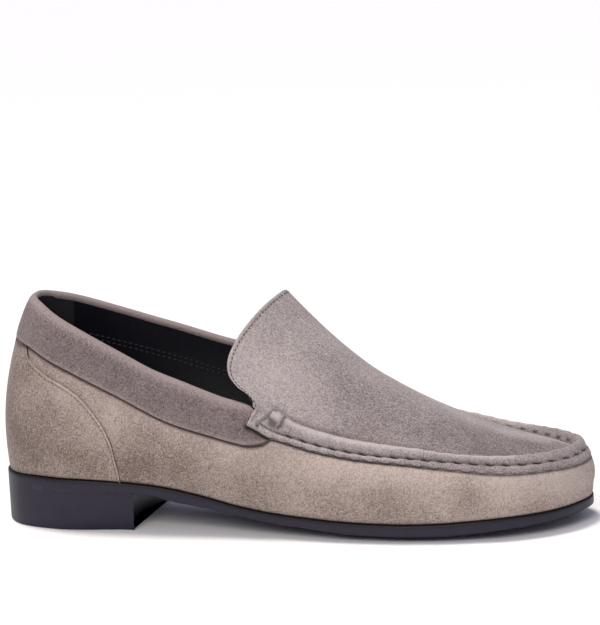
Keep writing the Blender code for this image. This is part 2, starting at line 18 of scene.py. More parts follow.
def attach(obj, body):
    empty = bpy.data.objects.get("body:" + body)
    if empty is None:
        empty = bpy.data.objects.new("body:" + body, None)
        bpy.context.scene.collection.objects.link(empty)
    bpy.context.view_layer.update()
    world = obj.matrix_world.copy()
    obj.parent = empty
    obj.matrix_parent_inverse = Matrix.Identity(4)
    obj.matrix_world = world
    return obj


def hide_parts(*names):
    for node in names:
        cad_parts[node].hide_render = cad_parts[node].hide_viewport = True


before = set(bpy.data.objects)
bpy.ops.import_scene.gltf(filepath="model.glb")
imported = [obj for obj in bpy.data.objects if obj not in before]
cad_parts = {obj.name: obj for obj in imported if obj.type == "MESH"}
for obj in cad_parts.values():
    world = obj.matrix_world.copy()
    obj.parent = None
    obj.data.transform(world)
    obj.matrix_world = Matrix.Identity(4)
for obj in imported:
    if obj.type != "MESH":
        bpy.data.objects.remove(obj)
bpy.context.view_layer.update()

bl_info = {
    "name": "Elevator Loafer",
    "version": (1, 0, 0),
    "blender": (4, 5, 0),
    "location": "View3D > Sidebar > Loafer",
    "description": "Dresses a suede loafer around its packed solids",
    "category": "Object",
}

MM = 0.001
SHIFT = np.array((152.8326, -0.7029, 0.0))  # last coordinates of the frame's origin

FEATHER_INSET = 2.2  # the upper stands this far inside the sole's edge
FEATHER_LIFT = 0.3
THROAT_FOOT = 140.5  # foot x where the collar ends and the apron starts
SPINE_POWER = 0.8    # spreads the apron's columns along its middle line

# Sole edge seen from above, from the back round the outer side and the toe.
OUTLINE = (
    # x, y
    (0.0, 0.0), (9.0, -21.0), (30.0, -31.5), (72.0, -32.0), (107.0, -34.3),
    (147.0, -41.5), (187.0, -48.5), (212.0, -50.0), (242.0, -47.3), (269.0, -40.0),
    (289.0, -26.5), (300.5, -9.5), (305.0, 6.0), (302.0, 19.0), (291.0, 32.0),
    (271.0, 42.0), (246.0, 47.0), (220.0, 48.0), (190.0, 43.5), (160.0, 35.5),
    (130.0, 29.0), (100.0, 27.0), (70.0, 29.5), (30.0, 31.0), (9.0, 21.0),
)
SOLE = (
    # x, top, bottom under the middle, rise of the bottom at the edge
    (0.0, 26.4, 20.6, 0.0), (22.0, 26.9, 20.0, 0.0), (42.0, 26.4, 19.4, 0.0),
    (62.0, 25.1, 18.8, 0.0), (84.0, 23.3, 18.2, 0.0), (94.0, 21.9, 15.4, 0.2),
    (110.0, 18.8, 12.6, 0.6), (132.0, 14.2, 8.2, 1.3), (154.0, 11.4, 4.7, 1.8),
    (165.0, 10.7, 3.4, 2.3), (180.0, 9.8, 1.5, 2.9), (194.0, 9.2, 0.0, 3.4),
    (219.0, 8.8, 0.0, 2.8), (236.0, 9.1, 0.0, 2.9), (254.0, 10.1, 1.4, 2.5),
    (270.0, 10.9, 2.9, 2.1), (288.0, 11.3, 4.2, 1.8), (305.0, 11.6, 5.0, 1.8),
)
SEAT_BACK = 20.6     # underside of the sole on the heel
SEAT_FRONT = 18.2
SEAT_LENGTH = 84.0
FLAT_SHARE = 0.6     # part of the sole's half width that has no edge rise

TOP_OUTER = (
    # foot x of the column, x, y, z
    (10.0, 22.8, -9.0, 115.9), (24.0, 33.2, -20.0, 111.3), (46.0, 51.2, -27.5, 102.9),
    (70.0, 73.2, -31.5, 92.2), (88.0, 89.2, -33.0, 84.2), (103.5, 103.8, -34.0, 78.7),
    (124.5, 124.7, -35.0, 71.0), (140.5, 140.8, -36.5, 66.2), (152.0, 152.2, -37.5, 58.7),
    (165.0, 165.4, -38.5, 53.9), (191.0, 191.3, -39.5, 48.0), (218.0, 216.5, -39.2, 44.0),
    (245.0, 241.4, -37.0, 41.2), (270.0, 264.7, -32.0, 39.4), (288.0, 281.8, -21.5, 38.3),
    (301.0, 294.5, -7.0, 38.6),
)
TOP_INNER = (
    # foot x of the column, x, y, z
    (10.0, 24.5, 8.0, 116.9), (20.0, 30.5, 14.0, 114.8), (34.0, 38.2, 20.0, 111.7),
    (56.0, 57.8, 26.0, 104.6), (72.0, 73.3, 29.0, 99.2), (87.0, 87.7, 30.5, 94.7),
    (108.0, 108.6, 31.5, 88.1), (124.0, 124.7, 32.5, 83.5), (140.5, 140.8, 34.0, 77.5),
    (152.0, 152.2, 34.8, 68.5), (165.0, 165.4, 35.5, 61.5), (191.0, 191.3, 37.8, 51.8),
    (218.0, 216.5, 38.8, 46.8), (243.0, 240.0, 38.0, 43.5), (262.0, 257.0, 35.0, 41.0),
    (281.0, 273.7, 29.0, 39.9), (298.0, 288.6, 19.5, 39.6),
)
TOP_BACK = (20.3, 0.0, 117.6)
TOP_TOE = (297.5, 7.0, 39.2)

SWELL = (
    # foot x, out at the low handle, out at the high handle, low share, high share
    (0.0, 2.2, 17.0, 0.28, 0.32), (12.0, 2.8, 13.0, 0.28, 0.32), (30.0, 3.6, 8.0, 0.29, 0.31),
    (60.0, 3.6, 3.5, 0.30, 0.30), (100.0, 4.0, 3.0, 0.31, 0.29), (140.0, 4.5, 5.0, 0.32, 0.26),
    (165.0, 5.0, 8.0, 0.33, 0.22), (218.0, 5.5, 11.5, 0.33, 0.21), (268.0, 5.0, 10.0, 0.32, 0.18),
    (305.0, 4.6, 9.6, 0.32, 0.15),
)
SPINE = (
    # x, y, z along the middle of the apron, from the tongue's top to the toe
    (152.6, 2.0, 118.0), (158.6, 2.0, 111.3), (170.4, 2.3, 98.9), (182.4, 2.7, 87.8),
    (194.4, 3.0, 78.2), (206.3, 3.5, 70.7), (218.4, 4.0, 63.7), (230.4, 4.5, 57.1),
    (242.4, 5.0, 51.0), (256.0, 5.3, 45.7), (268.9, 5.5, 42.6),
)
APRON = (
    # share, inward, upward, sweep back outside, sweep back inside,
    # reach across and reach along at the middle line, fall to the inner side there
    (0.0, 0.0, 0.50, 28.0, 20.0, 0.50, 0.14, 0.18),
    (0.1, 0.10, 0.43, 16.0, 12.0, 0.47, 0.25, 0.20),
    (0.22, 0.20, 0.35, 4.0, 4.0, 0.45, 0.40, 0.20),
    (0.35, 0.25, 0.31, 0.0, 0.0, 0.42, 0.42, 0.20),
    (0.7, 0.28, 0.33, 0.0, 0.0, 0.41, 0.41, 0.14),
    (1.0, 0.30, 0.35, 0.0, 0.0, 0.40, 0.40, 0.03),
)
# The tongue's edge: a notch at the throat, a lobe over it and a corner on the middle line.
TONGUE = (
    # share of the way across, shift to the toe, shift up
    (0.0, 0.0, 0.0), (0.05, 3.4, 0.0), (0.10, 2.7, -0.1), (0.15, -0.2, -0.1),
    (0.20, -2.2, -0.3), (0.25, -2.7, -0.4), (0.30, -2.6, -0.5), (0.40, -1.7, -0.7),
    (0.60, -0.4, -0.8), (0.80, -0.5, -0.5), (1.0, -1.1, 0.8),
)
TONGUE_FADE = 0.12   # share of the way to the toe where the edge's shape has run out
# Trough of the apron beside the seam, which stands over it round the toe.
TROUGH = (
    # share of the way to the toe, depth
    (0.0, 0.0), (0.45, 0.0), (0.68, 2.1), (0.86, 3.6), (1.0, 3.7),
)
TROUGH_ACROSS = (
    # share of the way across, part of that depth
    (0.0, 1.0), (0.1, 0.9), (0.25, 0.56), (0.5, 0.1), (0.75, 0.0), (1.0, 0.0),
)
FOOTBED = (
    # x, height over the outsole
    (0.0, 33.0), (40.0, 32.0), (72.0, 28.0), (104.0, 21.5), (136.0, 13.0),
    (166.0, 7.0), (196.0, 4.0), (305.0, 3.5),
)

# Moccasin seam: where its upper roll starts on the apron, the roll's height, and the depths of the
# stitch row and of the lower edge.
SEAM_LINES = (
    # foot x, start, height, stitch row, lower edge
    (136.0, -0.6, 2.2, 5.6, 11.2), (142.0, -1.8, 2.3, 5.5, 10.7), (148.0, -5.8, 2.5, 5.3, 10.0),
    (154.0, -9.4, 2.8, 4.7, 8.5), (157.5, -9.6, 3.0, 4.4, 8.2), (160.0, -8.2, 3.1, 4.3, 8.1),
    (163.0, -5.8, 3.2, 4.2, 8.0), (169.0, -4.4, 3.25, 4.3, 8.1), (176.0, -3.6, 3.3, 4.5, 8.2),
    (190.0, -2.8, 3.4, 4.8, 8.3), (207.0, -2.8, 3.7, 4.4, 7.9), (224.0, -2.8, 3.7, 3.6, 7.5),
    (240.0, -2.2, 3.2, 3.5, 8.0), (250.0, -1.9, 2.9, 3.7, 8.4), (262.0, -1.7, 2.7, 4.2, 9.2),
    (275.0, -1.7, 2.7, 4.7, 9.7), (290.0, -1.7, 2.8, 4.9, 9.5), (298.0, -1.7, 2.8, 5.2, 9.9),
    (305.0, -1.6, 2.8, 5.7, 10.7),
)
SEAM_START, SEAM_HEIGHT, SEAM_ROW, SEAM_EDGE = range(1, 5)  # columns of that table
# Lower edge of the cuff on the outer side.
CUFF_EDGE = (
    # foot x, z
    (0.0, 95.4), (11.9, 93.4), (25.1, 88.6), (36.9, 83.9), (68.4, 70.3), (98.2, 57.1), (118.4, 51.6),
    (131.0, 48.6), (139.0, 47.4), (145.5, 48.3), (151.0, 50.7), (155.0, 54.5),
)
# Section of the padded cuff as one loop: up the outside, over the rim, down the inside and back.
CUFF_SECTION = (
    # share of the band's width, further depth, offset from the wall
    (1.0, 0.0, 0.25), (1.0, 0.2, 1.1), (1.0, -0.5, 1.95), (0.9, 0.0, 2.2), (0.6, 0.0, 2.35),
    (0.33, 0.0, 2.4), (0.0, 3.4, 2.1), (0.0, 1.3, 1.35), (0.0, 0.25, 0.1), (0.0, 0.1, -1.3),
    (0.0, 0.6, -2.6), (0.0, 1.6, -3.2), (0.0, 2.7, -3.2), (0.0, 3.3, -2.8), (0.0, 2.9, -2.4),
    (0.0, 2.0, -2.2), (0.0, 1.7, -1.0), (0.0, 2.2, 0.1), (0.4, 0.0, 0.2), (0.8, 0.0, 0.2),
)
# Upper edge of the heel counter.
COUNTER_EDGE = (
    # foot x, z
    (68.2, 23.5), (67.6, 30.0), (66.0, 37.0), (64.6, 43.5), (61.7, 50.8), (58.0, 56.8),
    (52.4, 63.8), (46.7, 69.4), (41.0, 73.3), (35.2, 76.4), (29.0, 79.0), (22.5, 82.0),
    (17.8, 84.6), (14.4, 87.6), (12.8, 91.2), (11.6, 95.5), (9.5, 97.6), (0.0, 98.2),
)
# Upper one of the two stitch rows in the lining.
LINING_ROW = (
    # foot x, depth
    (36.0, 20.3), (64.0, 18.5), (86.0, 18.0), (136.0, 18.6),
)

# In the names below, a zone or a pair of numbers is where something begins and where it is full, as
# foot x unless it says otherwise; from a larger number to a smaller one, it grows backwards.

# Sole and heel
SOLE_COLUMNS = 420
ROUND_STEPS = 5            # points round a rounded edge
TOP_INSETS = (16.0, 9.0, 4.0)
SIDE_SHARES = (0.3, 0.6)   # rows down the sole's side
LOW_INSETS = (2.5, 5.0, 8.0, 11.0, 16.0)
LOW_ROUND = 0.8            # lower edge's radius as a share of the upper one's
SEAT_CLEARANCE = 0.02
NARROW_HALF = 16.0         # least half width over which the bottom's edge rises
EDGE_POWER = 1.6
GROOVE_SHADE = (1.6, 0.5)   # heights under the sole's top over which the painted shade in the groove fades
HEEL_BREAST_OUTER = 74.5
HEEL_BREAST_INNER = 77.0
HEEL_HOLLOW = 7.0
HEEL_TAPER = 0.2
HEEL_MIDDLE = np.array((38.0, 0.0, 0.0))
HEEL_COLUMNS = 161
BREAST_COLUMNS = 41
HEEL_SHARES = (0.0, 0.33, 0.66)

# Footbed
FOOTBED_COLUMNS = 130
FOOTBED_ROWS = 41
FOOTBED_GAP = 0.3
FOOTBED_WALL = 3.0
FOOTBED_DISH = 1.5
FOOTBED_HEM = 0.25
DISH_END = 0.1             # share of the length over which the dish runs out

# Lining
LINING_COLUMNS = 361
LINING_ROWS = 40
LINING_THICK = 0.6
LINING_TOP = 2.2           # depth of its upper edge
LINING_DEEPER = 4.0        # how much deeper that is under the apron
LINING_DEEPENS = (136.0, 150.0)
LINING_BELOW = 2.5         # it ends this far under the footbed's face
GRIP_FRONT = (26.8, 25.4)  # end of the napped patch at the heel
GRIP_TOP = (1.0, 2.0)      # depths
GRIP_RISE = 0.35
LINING_ROW_GAP = 2.4
LINING_PITCH = 3.0
LINING_STITCH = 2.0
LINING_BARE = 1.0          # length without stitches at the row's start
LINING_LIFT = 0.15         # the thread's middle stands this far off the lining's face

# Wall
WALL_COLUMNS = 521
WALL_ROWS = 58
WALL_ROW_POWER = 1.45      # draws the rows together under the seam
WALL_THICK = 1.1
WALL_TUCK = 1.3            # it runs this far up under the seam
WALL_TUCK_CUFF = 3.7       # and this much further under the cuff
TUCK_ZONE = (152.0, 144.0)
CUFF_FRONT = 154.9
SEAM_BEGINS = (136.0, 140.0)
FLARE = 0.4                # the wall's foot stands out over the sole, more round the toe
FLARE_TOE = 0.9
FLARE_ZONE = (220.0, 285.0)
FLARE_HEIGHT = 7.0
TOE_BULGE = 0.5
BULGE_ZONE = (255.0, 295.0)
CUFF_SHADOW_ZONE = (154.0, 146.0)
PALER_SHADE_ZONE = (225.0, 245.0)
SOLE_SHADE = 0.75           # darkness of the painted shade line along the sole
SOLE_SHADE_WIDTH = 0.6

# Heel counter
COUNTER_COLUMNS = 130
COUNTER_ROWS = (0.0, 0.15, 0.35, 0.6, 0.9, 1.3, 1.7, 2.1, 2.5, 2.9, 3.4, 4.2, 5.5)
COUNTER_LOW_ROWS = 26
COUNTER_THICK = 0.9
COUNTER_FOOT = 0.3         # it ends this far over the sole
COUNTER_ROUND = 0.7        # radius of its folded edge
COUNTER_LOW = 0.1          # its least height over the wall
COUNTER_MARGIN = 1.9       # distance of its stitches from its edge
COUNTER_PITCH = 2.4
COUNTER_STITCH = 1.4
COUNTER_SINK = 0.28        # the thread's middle lies this deep in the folded edge
COUNTER_BARE = (3.0, 4.0)  # lengths without stitches at its two ends
COUNTER_CLEAR = 1.5        # depth under the cuff's edge from which stitches show
COUNTER_THINS = (3.0, 12.0)  # distances from its edge
CUFF_COVERS = (0.5, -1.5)  # depths under the cuff's edge
HEEL_BULGE = 0.8
HEEL_BULGE_HEIGHT = (56.0, 26.0)  # its middle and its reach
HEEL_BULGE_FOOT = (22.0, 6.0)
EDGE_SHADE_TOP = (86.0, 89.0)      # heights where the painted shade along the edge is darker
EDGE_SHADE_FOOT = (60.0, 44.0)

# Collar cuff
CUFF_COLUMNS = 460
CUFF_ROUND = 53            # points round its section
CUFF_TYPICAL = 20.0        # width for which the section's points are spaced
CUFF_END = 154.5
CUFF_TUCK = 7.5            # its front end goes down under the seam
CUFF_TUCK_ZONE = (138.5, 151.0)
CUFF_FLAT_FRONT = (135.5, 141.5)
CUFF_FLAT_BACK = (16.0, 9.0)
CUFF_SHADED = (136.5, 138.5)

# Apron and tongue
APRON_COLUMNS = 150        # on each side, and more of them along the tongue's edge
APRON_ROWS = 56
TONGUE_COLUMNS = 22
TONGUE_BAND = 0.03         # share of the way to the toe that those take up
APRON_THICK = 1.9
TONGUE_ROUND = 1.1         # radius of the tongue's turned edge
TONGUE_ROW = (0.03, 1.0)   # shares across between which the tongue is stitched
TONGUE_REACH = 0.05        # share of the way to the toe in which its stitch row lies
TONGUE_SINK = 0.12         # the thread's middle lies this deep in the suede
TONGUE_BARE = (1.5, 2.0)   # lengths without stitches at the row's two ends
GROOVE_SHADE_GROWS = (205.0, 175.0)

# Moccasin seam along its length, from the nearer end
SEAM_FOOT = 137.9          # foot x of the ends
SEAM_STEP = 0.5
SEAM_THICK = 0.7
SKEW_START = 4.2           # the end is cut aslant by this much
SKEW_FADE = 15.0
FLAP_END = 9.0             # the end lies flat up to here
ROLL_FULL = 21.0           # and is fully rolled from here
FIRST_STITCH = 21.0
STITCH_FADE = 2.5
STITCH_SHIFT = 1.8         # the holes' place along the seam, as in the photograph
THREAD_PARTS = (0.27, 0.73)  # a thread's ends, as shares of the pitch
# Painted shade under the lower edge and at the top of the seam begins at these lengths from its end.
LOWER_SHADE_START = (0.3, 1.2)
UPPER_SHADE_START = (12.0, 26.0)

# Moccasin seam across: its rolls, and the flap at its end
SEAM_SHARES = (
    0.0, 0.03, 0.08, 0.15, 0.23, 0.32, 0.42, 0.52, 0.62, 0.71, 0.79, 0.86, 0.92, 0.965,
    1.0, 1.03, 1.08, 1.15, 1.24, 1.34, 1.45, 1.56, 1.66, 1.76, 1.85, 1.92, 1.97, 2.0,
)
ROLL_FOOT = 0.45           # a roll starts this deep in the faces beside it
UPPER_LEAN = 0.85          # powers that make a roll fuller than an arch and lean to the apron
UPPER_ROUND = 0.7
LOWER_ROUND = 0.65
UPPER_PUCKER = 0.05        # swelling between two stitches, as a share of the height
LOWER_PUCKER = 0.2
EDGE_PUCKER = 0.3
TROUGH_SINK = 0.7          # power by which the upper edge goes down into the apron's trough
TOE_ZONE = (280.0, 300.0)
TOE_FLATTER = 0.25         # share by which the lower roll is lower round the toe
TOE_JOIN = 0.9             # height at which the two rolls join there
FLAP_RISE = 2.3
FLAP_FOOT = 0.3            # the flap's upper edge lies this deep in the apron
FLAP_ROUND = 0.9           # radius of its free edge
FLAP_EDGE = 0.4            # height of that edge

# Moccasin seam's marks, darkened with painted shade: slits of the stitches, those of the inner row, and folds
# of the flap
DASH_REACH = 2.2
DASH_WIDTH = 0.6
DASH_SLANT = 0.14
INNER_ROW = 0.075          # shares across the seam
INNER_WIDTH = 0.028
INNER_SLANT = 0.008
INNER_TROUGH = (0.5, 2.5)  # depths of the apron's trough
LOWER_SHADE_WIDTH = 0.5
ROW_FOLD_WIDTH = 0.55
ROW_FOLD_START = (4.0, 6.5)  # lengths from the end
HEM_MARGIN = 1.9
HEM_WIDTH = 0.4
HEM_TOP = (-2.0, 0.0)      # depths
HEM_BOTTOM = (8.0, 6.0)
# Where the painted highlights on the upper and the lower roll run out, and where the lower roll darkens
HIGHLIGHT_ENDS = (268.0, 286.0)
LOWER_DARKENS = (215.0, 245.0)
LOWER_HIGHLIGHT_ENDS = (240.0, 205.0)

# Throat: foot x and depth of the bar stitch's ends, of a dimple with its reach along and down, and
# of both ends of the fold that wraps round it
BAR_LOW = (143.5, 7.2)
BAR_HIGH = (156.1, -9.2)
BAR_LIFT_LOW = 1.7
BAR_LIFT_HIGH = 0.5
BAR_ARCH = 1.2
DIMPLE = (151.2, 1.0, 2.3, 2.6)
WRAP = ((160.8, -6.9), (154.0, 2.2))
WRAP_WIDTH = 0.7

# Spots where the wall, the counter and the apron are lighter (positive) or darker: partly how the
# nap lies, partly painted light and shade.
WALL_SPOTS = (
    # x, z, reach, strength
    (192.0, 36.0, 20.0, 0.30), (216.0, 38.0, 18.0, 0.30), (242.0, 33.0, 14.0, 0.40),
    (143.0, 46.0, 16.0, 0.32), (162.0, 42.0, 12.0, 0.16), (182.0, 41.0, 12.0, 0.20),
    (268.0, 31.0, 13.0, 0.50), (292.0, 31.0, 14.0, 0.55), (296.0, 24.0, 10.0, 0.15),
    (66.0, 61.0, 12.0, 0.16), (104.0, 60.0, 14.0, 0.24), (82.0, 66.0, 8.0, 0.10),
    (251.0, 21.0, 11.0, -0.18), (185.0, 17.0, 18.0, -0.30), (215.0, 14.0, 18.0, -0.28),
    (76.0, 38.0, 16.0, -0.36), (70.0, 30.0, 10.0, -0.30), (92.0, 32.0, 14.0, -0.24),
    (114.0, 32.0, 18.0, -0.28), (140.0, 24.0, 18.0, -0.32), (284.0, 14.0, 10.0, -0.30),
    (124.0, 45.0, 14.0, 0.30), (176.0, 37.0, 9.0, 0.16), (200.0, 34.0, 9.0, 0.16),
    (226.0, 33.0, 9.0, 0.18), (205.0, 24.0, 9.0, -0.12), (252.0, 24.0, 6.0, -0.22),
    (258.0, 32.0, 6.0, 0.10),
)
# Soft troughs in the wall's forefoot.
WALL_DENTS = (
    # x, z, reach along, reach across, slope, depth
    (252.0, 25.0, 13.0, 4.0, -0.58, 0.6),
    (224.0, 25.0, 14.0, 5.0, -0.80, 0.45),
    (203.0, 26.0, 12.0, 5.0, -0.70, 0.35),
)
COUNTER_SPOTS = (
    # x, z, reach, strength
    (2.0, 84.0, 16.0, -0.45), (2.0, 62.0, 18.0, -0.45), (20.0, 80.0, 8.0, -0.20),
    (32.0, 60.0, 14.0, -0.24), (14.0, 42.0, 16.0, -0.40), (40.0, 40.0, 14.0, -0.32),
    (24.0, 32.0, 12.0, -0.25), (58.0, 33.0, 12.0, -0.35), (46.0, 70.0, 9.0, 0.30),
    (53.0, 54.0, 8.0, 0.10), (26.0, 76.0, 8.0, 0.12),
)
APRON_SPOTS = (
    # x, z, reach, strength
    (134.0, 88.0, 17.0, 0.34), (152.0, 78.0, 16.0, 0.30), (168.0, 64.0, 14.0, 0.22),
    (182.0, 88.0, 16.0, -0.20), (205.0, 70.0, 22.0, -0.24), (195.0, 55.0, 12.0, -0.12),
    (232.0, 52.0, 24.0, -0.24), (262.0, 42.0, 24.0, -0.26), (250.0, 41.0, 8.0, -0.15),
    (270.0, 38.0, 10.0, -0.20), (288.0, 37.0, 14.0, -0.30),
)

# Camera: the photograph's angle to the shoe.
CAMERA_TURN = math.radians(14.0)
CAMERA_RISE = math.radians(13.0)
CAMERA_ROLL = math.radians(2.8)
CAMERA_DISTANCE = 2200.0
CAMERA_TARGET = np.array((150.0, 0.0, 55.0))
FOCAL_PIXELS = 4312.0
TARGET_PIXEL = (287.896, 411.838)
PICTURE = (600, 625)
SENSOR = 36.0

# Studio: light colours are linear or sRGB hex, places are metres in the frame
FLOOR_SIZE = 40.0
PAPER_COLOUR = "#fbfbfc"
SKY_COLOUR = (0.8, 0.78, 1.0, 1.0)
SKY_STRENGTH = 0.42
LAMP_COLOUR = "#fff9ec"
LAMPS = (
    # kind, name, place, width (an angle for the sun), power
    ("AREA", "key_light", (-0.1, -1.5, 1.1), 0.9, 14.0),
    ("SUN", "top_light", (-0.25, 0.2, 1.6), math.radians(12.0), 2.3),
)

# Steps of the surfaces' functions
WALL_SAMPLES = 81          # points down a column of the wall
NORMAL_ALONG = 0.004       # steps that give the wall's normal
NORMAL_DOWN = 0.5
LAST_MIDDLE = (152.0, 0.0, 0.0)
SPINE_STEP = 0.01
MIDDLE_LINE = (-0.11, 0.1)  # frame x of the ends of the shoe's long middle line, in metres


def linear(code):
    """sRGB hex colour as linear red, green and blue."""
    parts = [int(code[i:i + 2], 16) / 255 for i in (1, 3, 5)]
    return tuple(c / 12.92 if c <= 0.04045 else ((c + 0.055) / 1.055) ** 2.4 for c in parts)


def column(rows, index):
    """One column of a table as an array."""
    return np.array([row[index] for row in rows], float)


def smooth(xs, ys, x):
    """Cubic through a table's points that adds no bumps between them."""
    xs, ys, x = np.asarray(xs, float), np.asarray(ys, float), np.asarray(x, float)
    step = np.diff(xs)
    rise = np.diff(ys) / step
    slope = np.concatenate(([rise[0]], np.zeros(len(xs) - 2), [rise[-1]]))
    same = rise[:-1] * rise[1:] > 0
    w0, w1 = 2 * step[1:] + step[:-1], step[1:] + 2 * step[:-1]
    safe = np.where(same, rise[:-1], 1.0), np.where(same, rise[1:], 1.0)
    slope[1:-1] = np.where(same, (w0 + w1) / (w0 / safe[0] + w1 / safe[1]), 0.0)
    i = np.clip(np.searchsorted(xs, x, side="right") - 1, 0, len(xs) - 2)
    t = np.clip((x - xs[i]) / step[i], 0.0, 1.0)
    return (ys[i] * (1 + 2 * t) * (1 - t) ** 2 + ys[i + 1] * t * t * (3 - 2 * t)
            + step[i] * (slope[i] * t * (1 - t) ** 2 - slope[i + 1] * t * t * (1 - t)))


def table(rows, index, x):
    """A table's column at x, its first column."""
    return smooth(column(rows, 0), column(rows, index), x)


def ease(low, high, x):
    """0 below low, 1 above high and smooth between them."""
    t = np.clip((np.asarray(x, float) - low) / (high - low), 0.0, 1.0)
    return t * t * (3 - 2 * t)


def ring_curve(ts, points, period, t):
    """Closed curve through points placed at parameters ts."""
    points = np.asarray(points, float)
    ts = np.concatenate((ts[-2:] - period, ts, ts[:2] + period))
    pts = np.concatenate((points[-2:], points, points[:2]))
    gap = np.diff(ts)[:, None]
    chord = np.diff(pts, axis=0) / gap
    slope = np.zeros_like(pts)
    slope[1:-1] = (chord[:-1] * gap[1:] + chord[1:] * gap[:-1]) / (gap[1:] + gap[:-1])
    t = (np.asarray(t, float) - ts[2]) % period + ts[2]
    i = np.clip(np.searchsorted(ts, t, side="right") - 1, 1, len(ts) - 3)
    h = gap[i]
    w = ((t - ts[i])[..., None]) / h
    return (pts[i] * (1 + 2 * w) * (1 - w) ** 2 + pts[i + 1] * w * w * (3 - 2 * w)
            + h * (slope[i] * w * (1 - w) ** 2 - slope[i + 1] * w * w * (1 - w)))


def chord_steps(points):
    return np.linalg.norm(np.diff(points, axis=0), axis=-1)


def run_along(points):
    """Length along a line of points, from its start."""
    return np.concatenate(([0.0], np.cumsum(chord_steps(points))))


def points_at(at, run, line):
    """Points of a line at lengths along it."""
    return np.column_stack([np.interp(at, run, line[:, axis]) for axis in range(3)])


def ring_normals(points):
    """Outward unit normals of a closed outline."""
    along = np.roll(points, -1, axis=0) - np.roll(points, 1, axis=0)
    normal = np.stack((along[:, 1], -along[:, 0]), axis=1)
    normal /= np.linalg.norm(normal, axis=1)[:, None]
    inside_out = np.sum((points - points.mean(axis=0)) * normal) < 0
    return -normal if inside_out else normal


def sampled_outline(samples=1600):
    """Share of the way, points and outward normals for each half of the sole's edge."""
    points = np.array(OUTLINE)
    chord = chord_steps(np.vstack((points, points[:1])))
    ts = np.concatenate(([0.0], np.cumsum(chord)[:-1]))
    dense = ring_curve(ts, points, chord.sum(), np.linspace(0, chord.sum(), samples, False))
    normal = ring_normals(dense)
    toe = int(np.argmax(dense[:, 0]))
    halves = {}
    for side, order in ((-1, np.arange(0, toe + 1)),
                        (1, np.concatenate(([0], np.arange(samples - 1, toe - 1, -1))))):
        run = run_along(dense[order])
        halves[side] = (run / run[-1], dense[order], normal[order])
    return halves


HALVES = sampled_outline()


def on_edge(s):
    """Sole edge point and outward normal for each s."""
    s = np.asarray(s, float)
    xy = np.zeros(s.shape + (2,))
    normal = np.zeros(s.shape + (2,))
    for side in (-1, 1):
        k, points, normals = HALVES[side]
        pick = s < 0 if side < 0 else s >= 0
        for axis in (0, 1):
            xy[pick, axis] = np.interp(np.abs(s[pick]), k, points[:, axis])
            normal[pick, axis] = np.interp(np.abs(s[pick]), k, normals[:, axis])
    return xy, normal / np.linalg.norm(normal, axis=-1)[..., None]


def s_at(foot_x, side):
    """The s whose sole edge lies at foot_x on one side."""
    k, points, _ = HALVES[side]
    return side * np.interp(foot_x, points[:, 0], k)


def foot_x(s):
    return on_edge(s)[0][..., 0]


def sole_top(x):
    return table(SOLE, 1, x)


def sole_bottom(x):
    """Bottom under the middle of the sole; the heel's seat is a flat slope."""
    x = np.asarray(x, float)
    seat = SEAT_BACK - (SEAT_BACK - SEAT_FRONT) * x / SEAT_LENGTH
    return np.where(x < SEAT_LENGTH, seat, table(SOLE, 2, x))


def footbed_top(x):
    return sole_top(x) + table(FOOTBED, 1, x)


def top_line_table():
    """Places and points of the wall's top line, all the way round."""
    rows = [(0.0, TOP_BACK), (-1.0, TOP_TOE)]
    rows += [(s_at(row[0], -1), row[1:]) for row in TOP_OUTER]
    rows += [(s_at(row[0], 1), row[1:]) for row in TOP_INNER]
    rows.sort(key=lambda row: row[0])
    return np.array([row[0] for row in rows]), np.array([row[1] for row in rows])


TOP_S, TOP_POINTS = top_line_table()


def top_line(s):
    return ring_curve(TOP_S, TOP_POINTS, 2.0, s)


def bezier(p0, p1, p2, p3, t):
    t = np.asarray(t, float)[..., None]
    return (p0 * (1 - t) ** 3 + 3 * p1 * t * (1 - t) ** 2
            + 3 * p2 * t * t * (1 - t) + p3 * t ** 3)


def wall_columns(s):
    """Each column of the wall as points from the top line down to the sole, and the run down it."""
    s = np.asarray(s, float).ravel()
    xy, normal = on_edge(s)
    x = xy[:, 0]
    foot = np.zeros((len(s), 3))
    foot[:, :2] = xy - FEATHER_INSET * normal
    foot[:, 2] = sole_top(x) + FEATHER_LIFT
    top = top_line(s)
    out = np.zeros((len(s), 3))
    out[:, :2] = normal
    height = (top[:, 2] - foot[:, 2])[:, None]
    up = np.array([0.0, 0.0, 1.0])
    low_out, high_out, low_up, high_up = (table(SWELL, i, x)[:, None] for i in (1, 2, 3, 4))
    low = foot + out * low_out + up * height * low_up
    high = top + out * high_out - up * height * high_up
    t = np.linspace(1.0, 0.0, WALL_SAMPLES)
    pts = bezier(foot[:, None], low[:, None], high[:, None], top[:, None], t[None, :])
    run = np.cumsum(np.linalg.norm(np.diff(pts, axis=1), axis=2), axis=1)
    return pts, np.concatenate((np.zeros((len(s), 1)), run), axis=1)


def wall(s, d, chunk=6000):
    """Outer face of the wall at each place s and depth d."""
    s, d = np.broadcast_arrays(np.asarray(s, float), np.asarray(d, float))
    flat_s, flat_d = s.ravel(), d.ravel()
    made = np.zeros((len(flat_s), 3))
    for a in range(0, len(flat_s), chunk):
        pts, run = wall_columns(flat_s[a:a + chunk])
        depth = np.clip(flat_d[a:a + chunk], 0.0, run[:, -1])
        n = np.arange(len(depth))
        i = np.clip((run <= depth[:, None]).sum(axis=1) - 1, 0, run.shape[1] - 2)
        w = ((depth - run[n, i]) / (run[n, i + 1] - run[n, i]))[:, None]
        made[a:a + chunk] = pts[n, i] * (1 - w) + pts[n, i + 1] * w
    return made.reshape(s.shape + (3,))


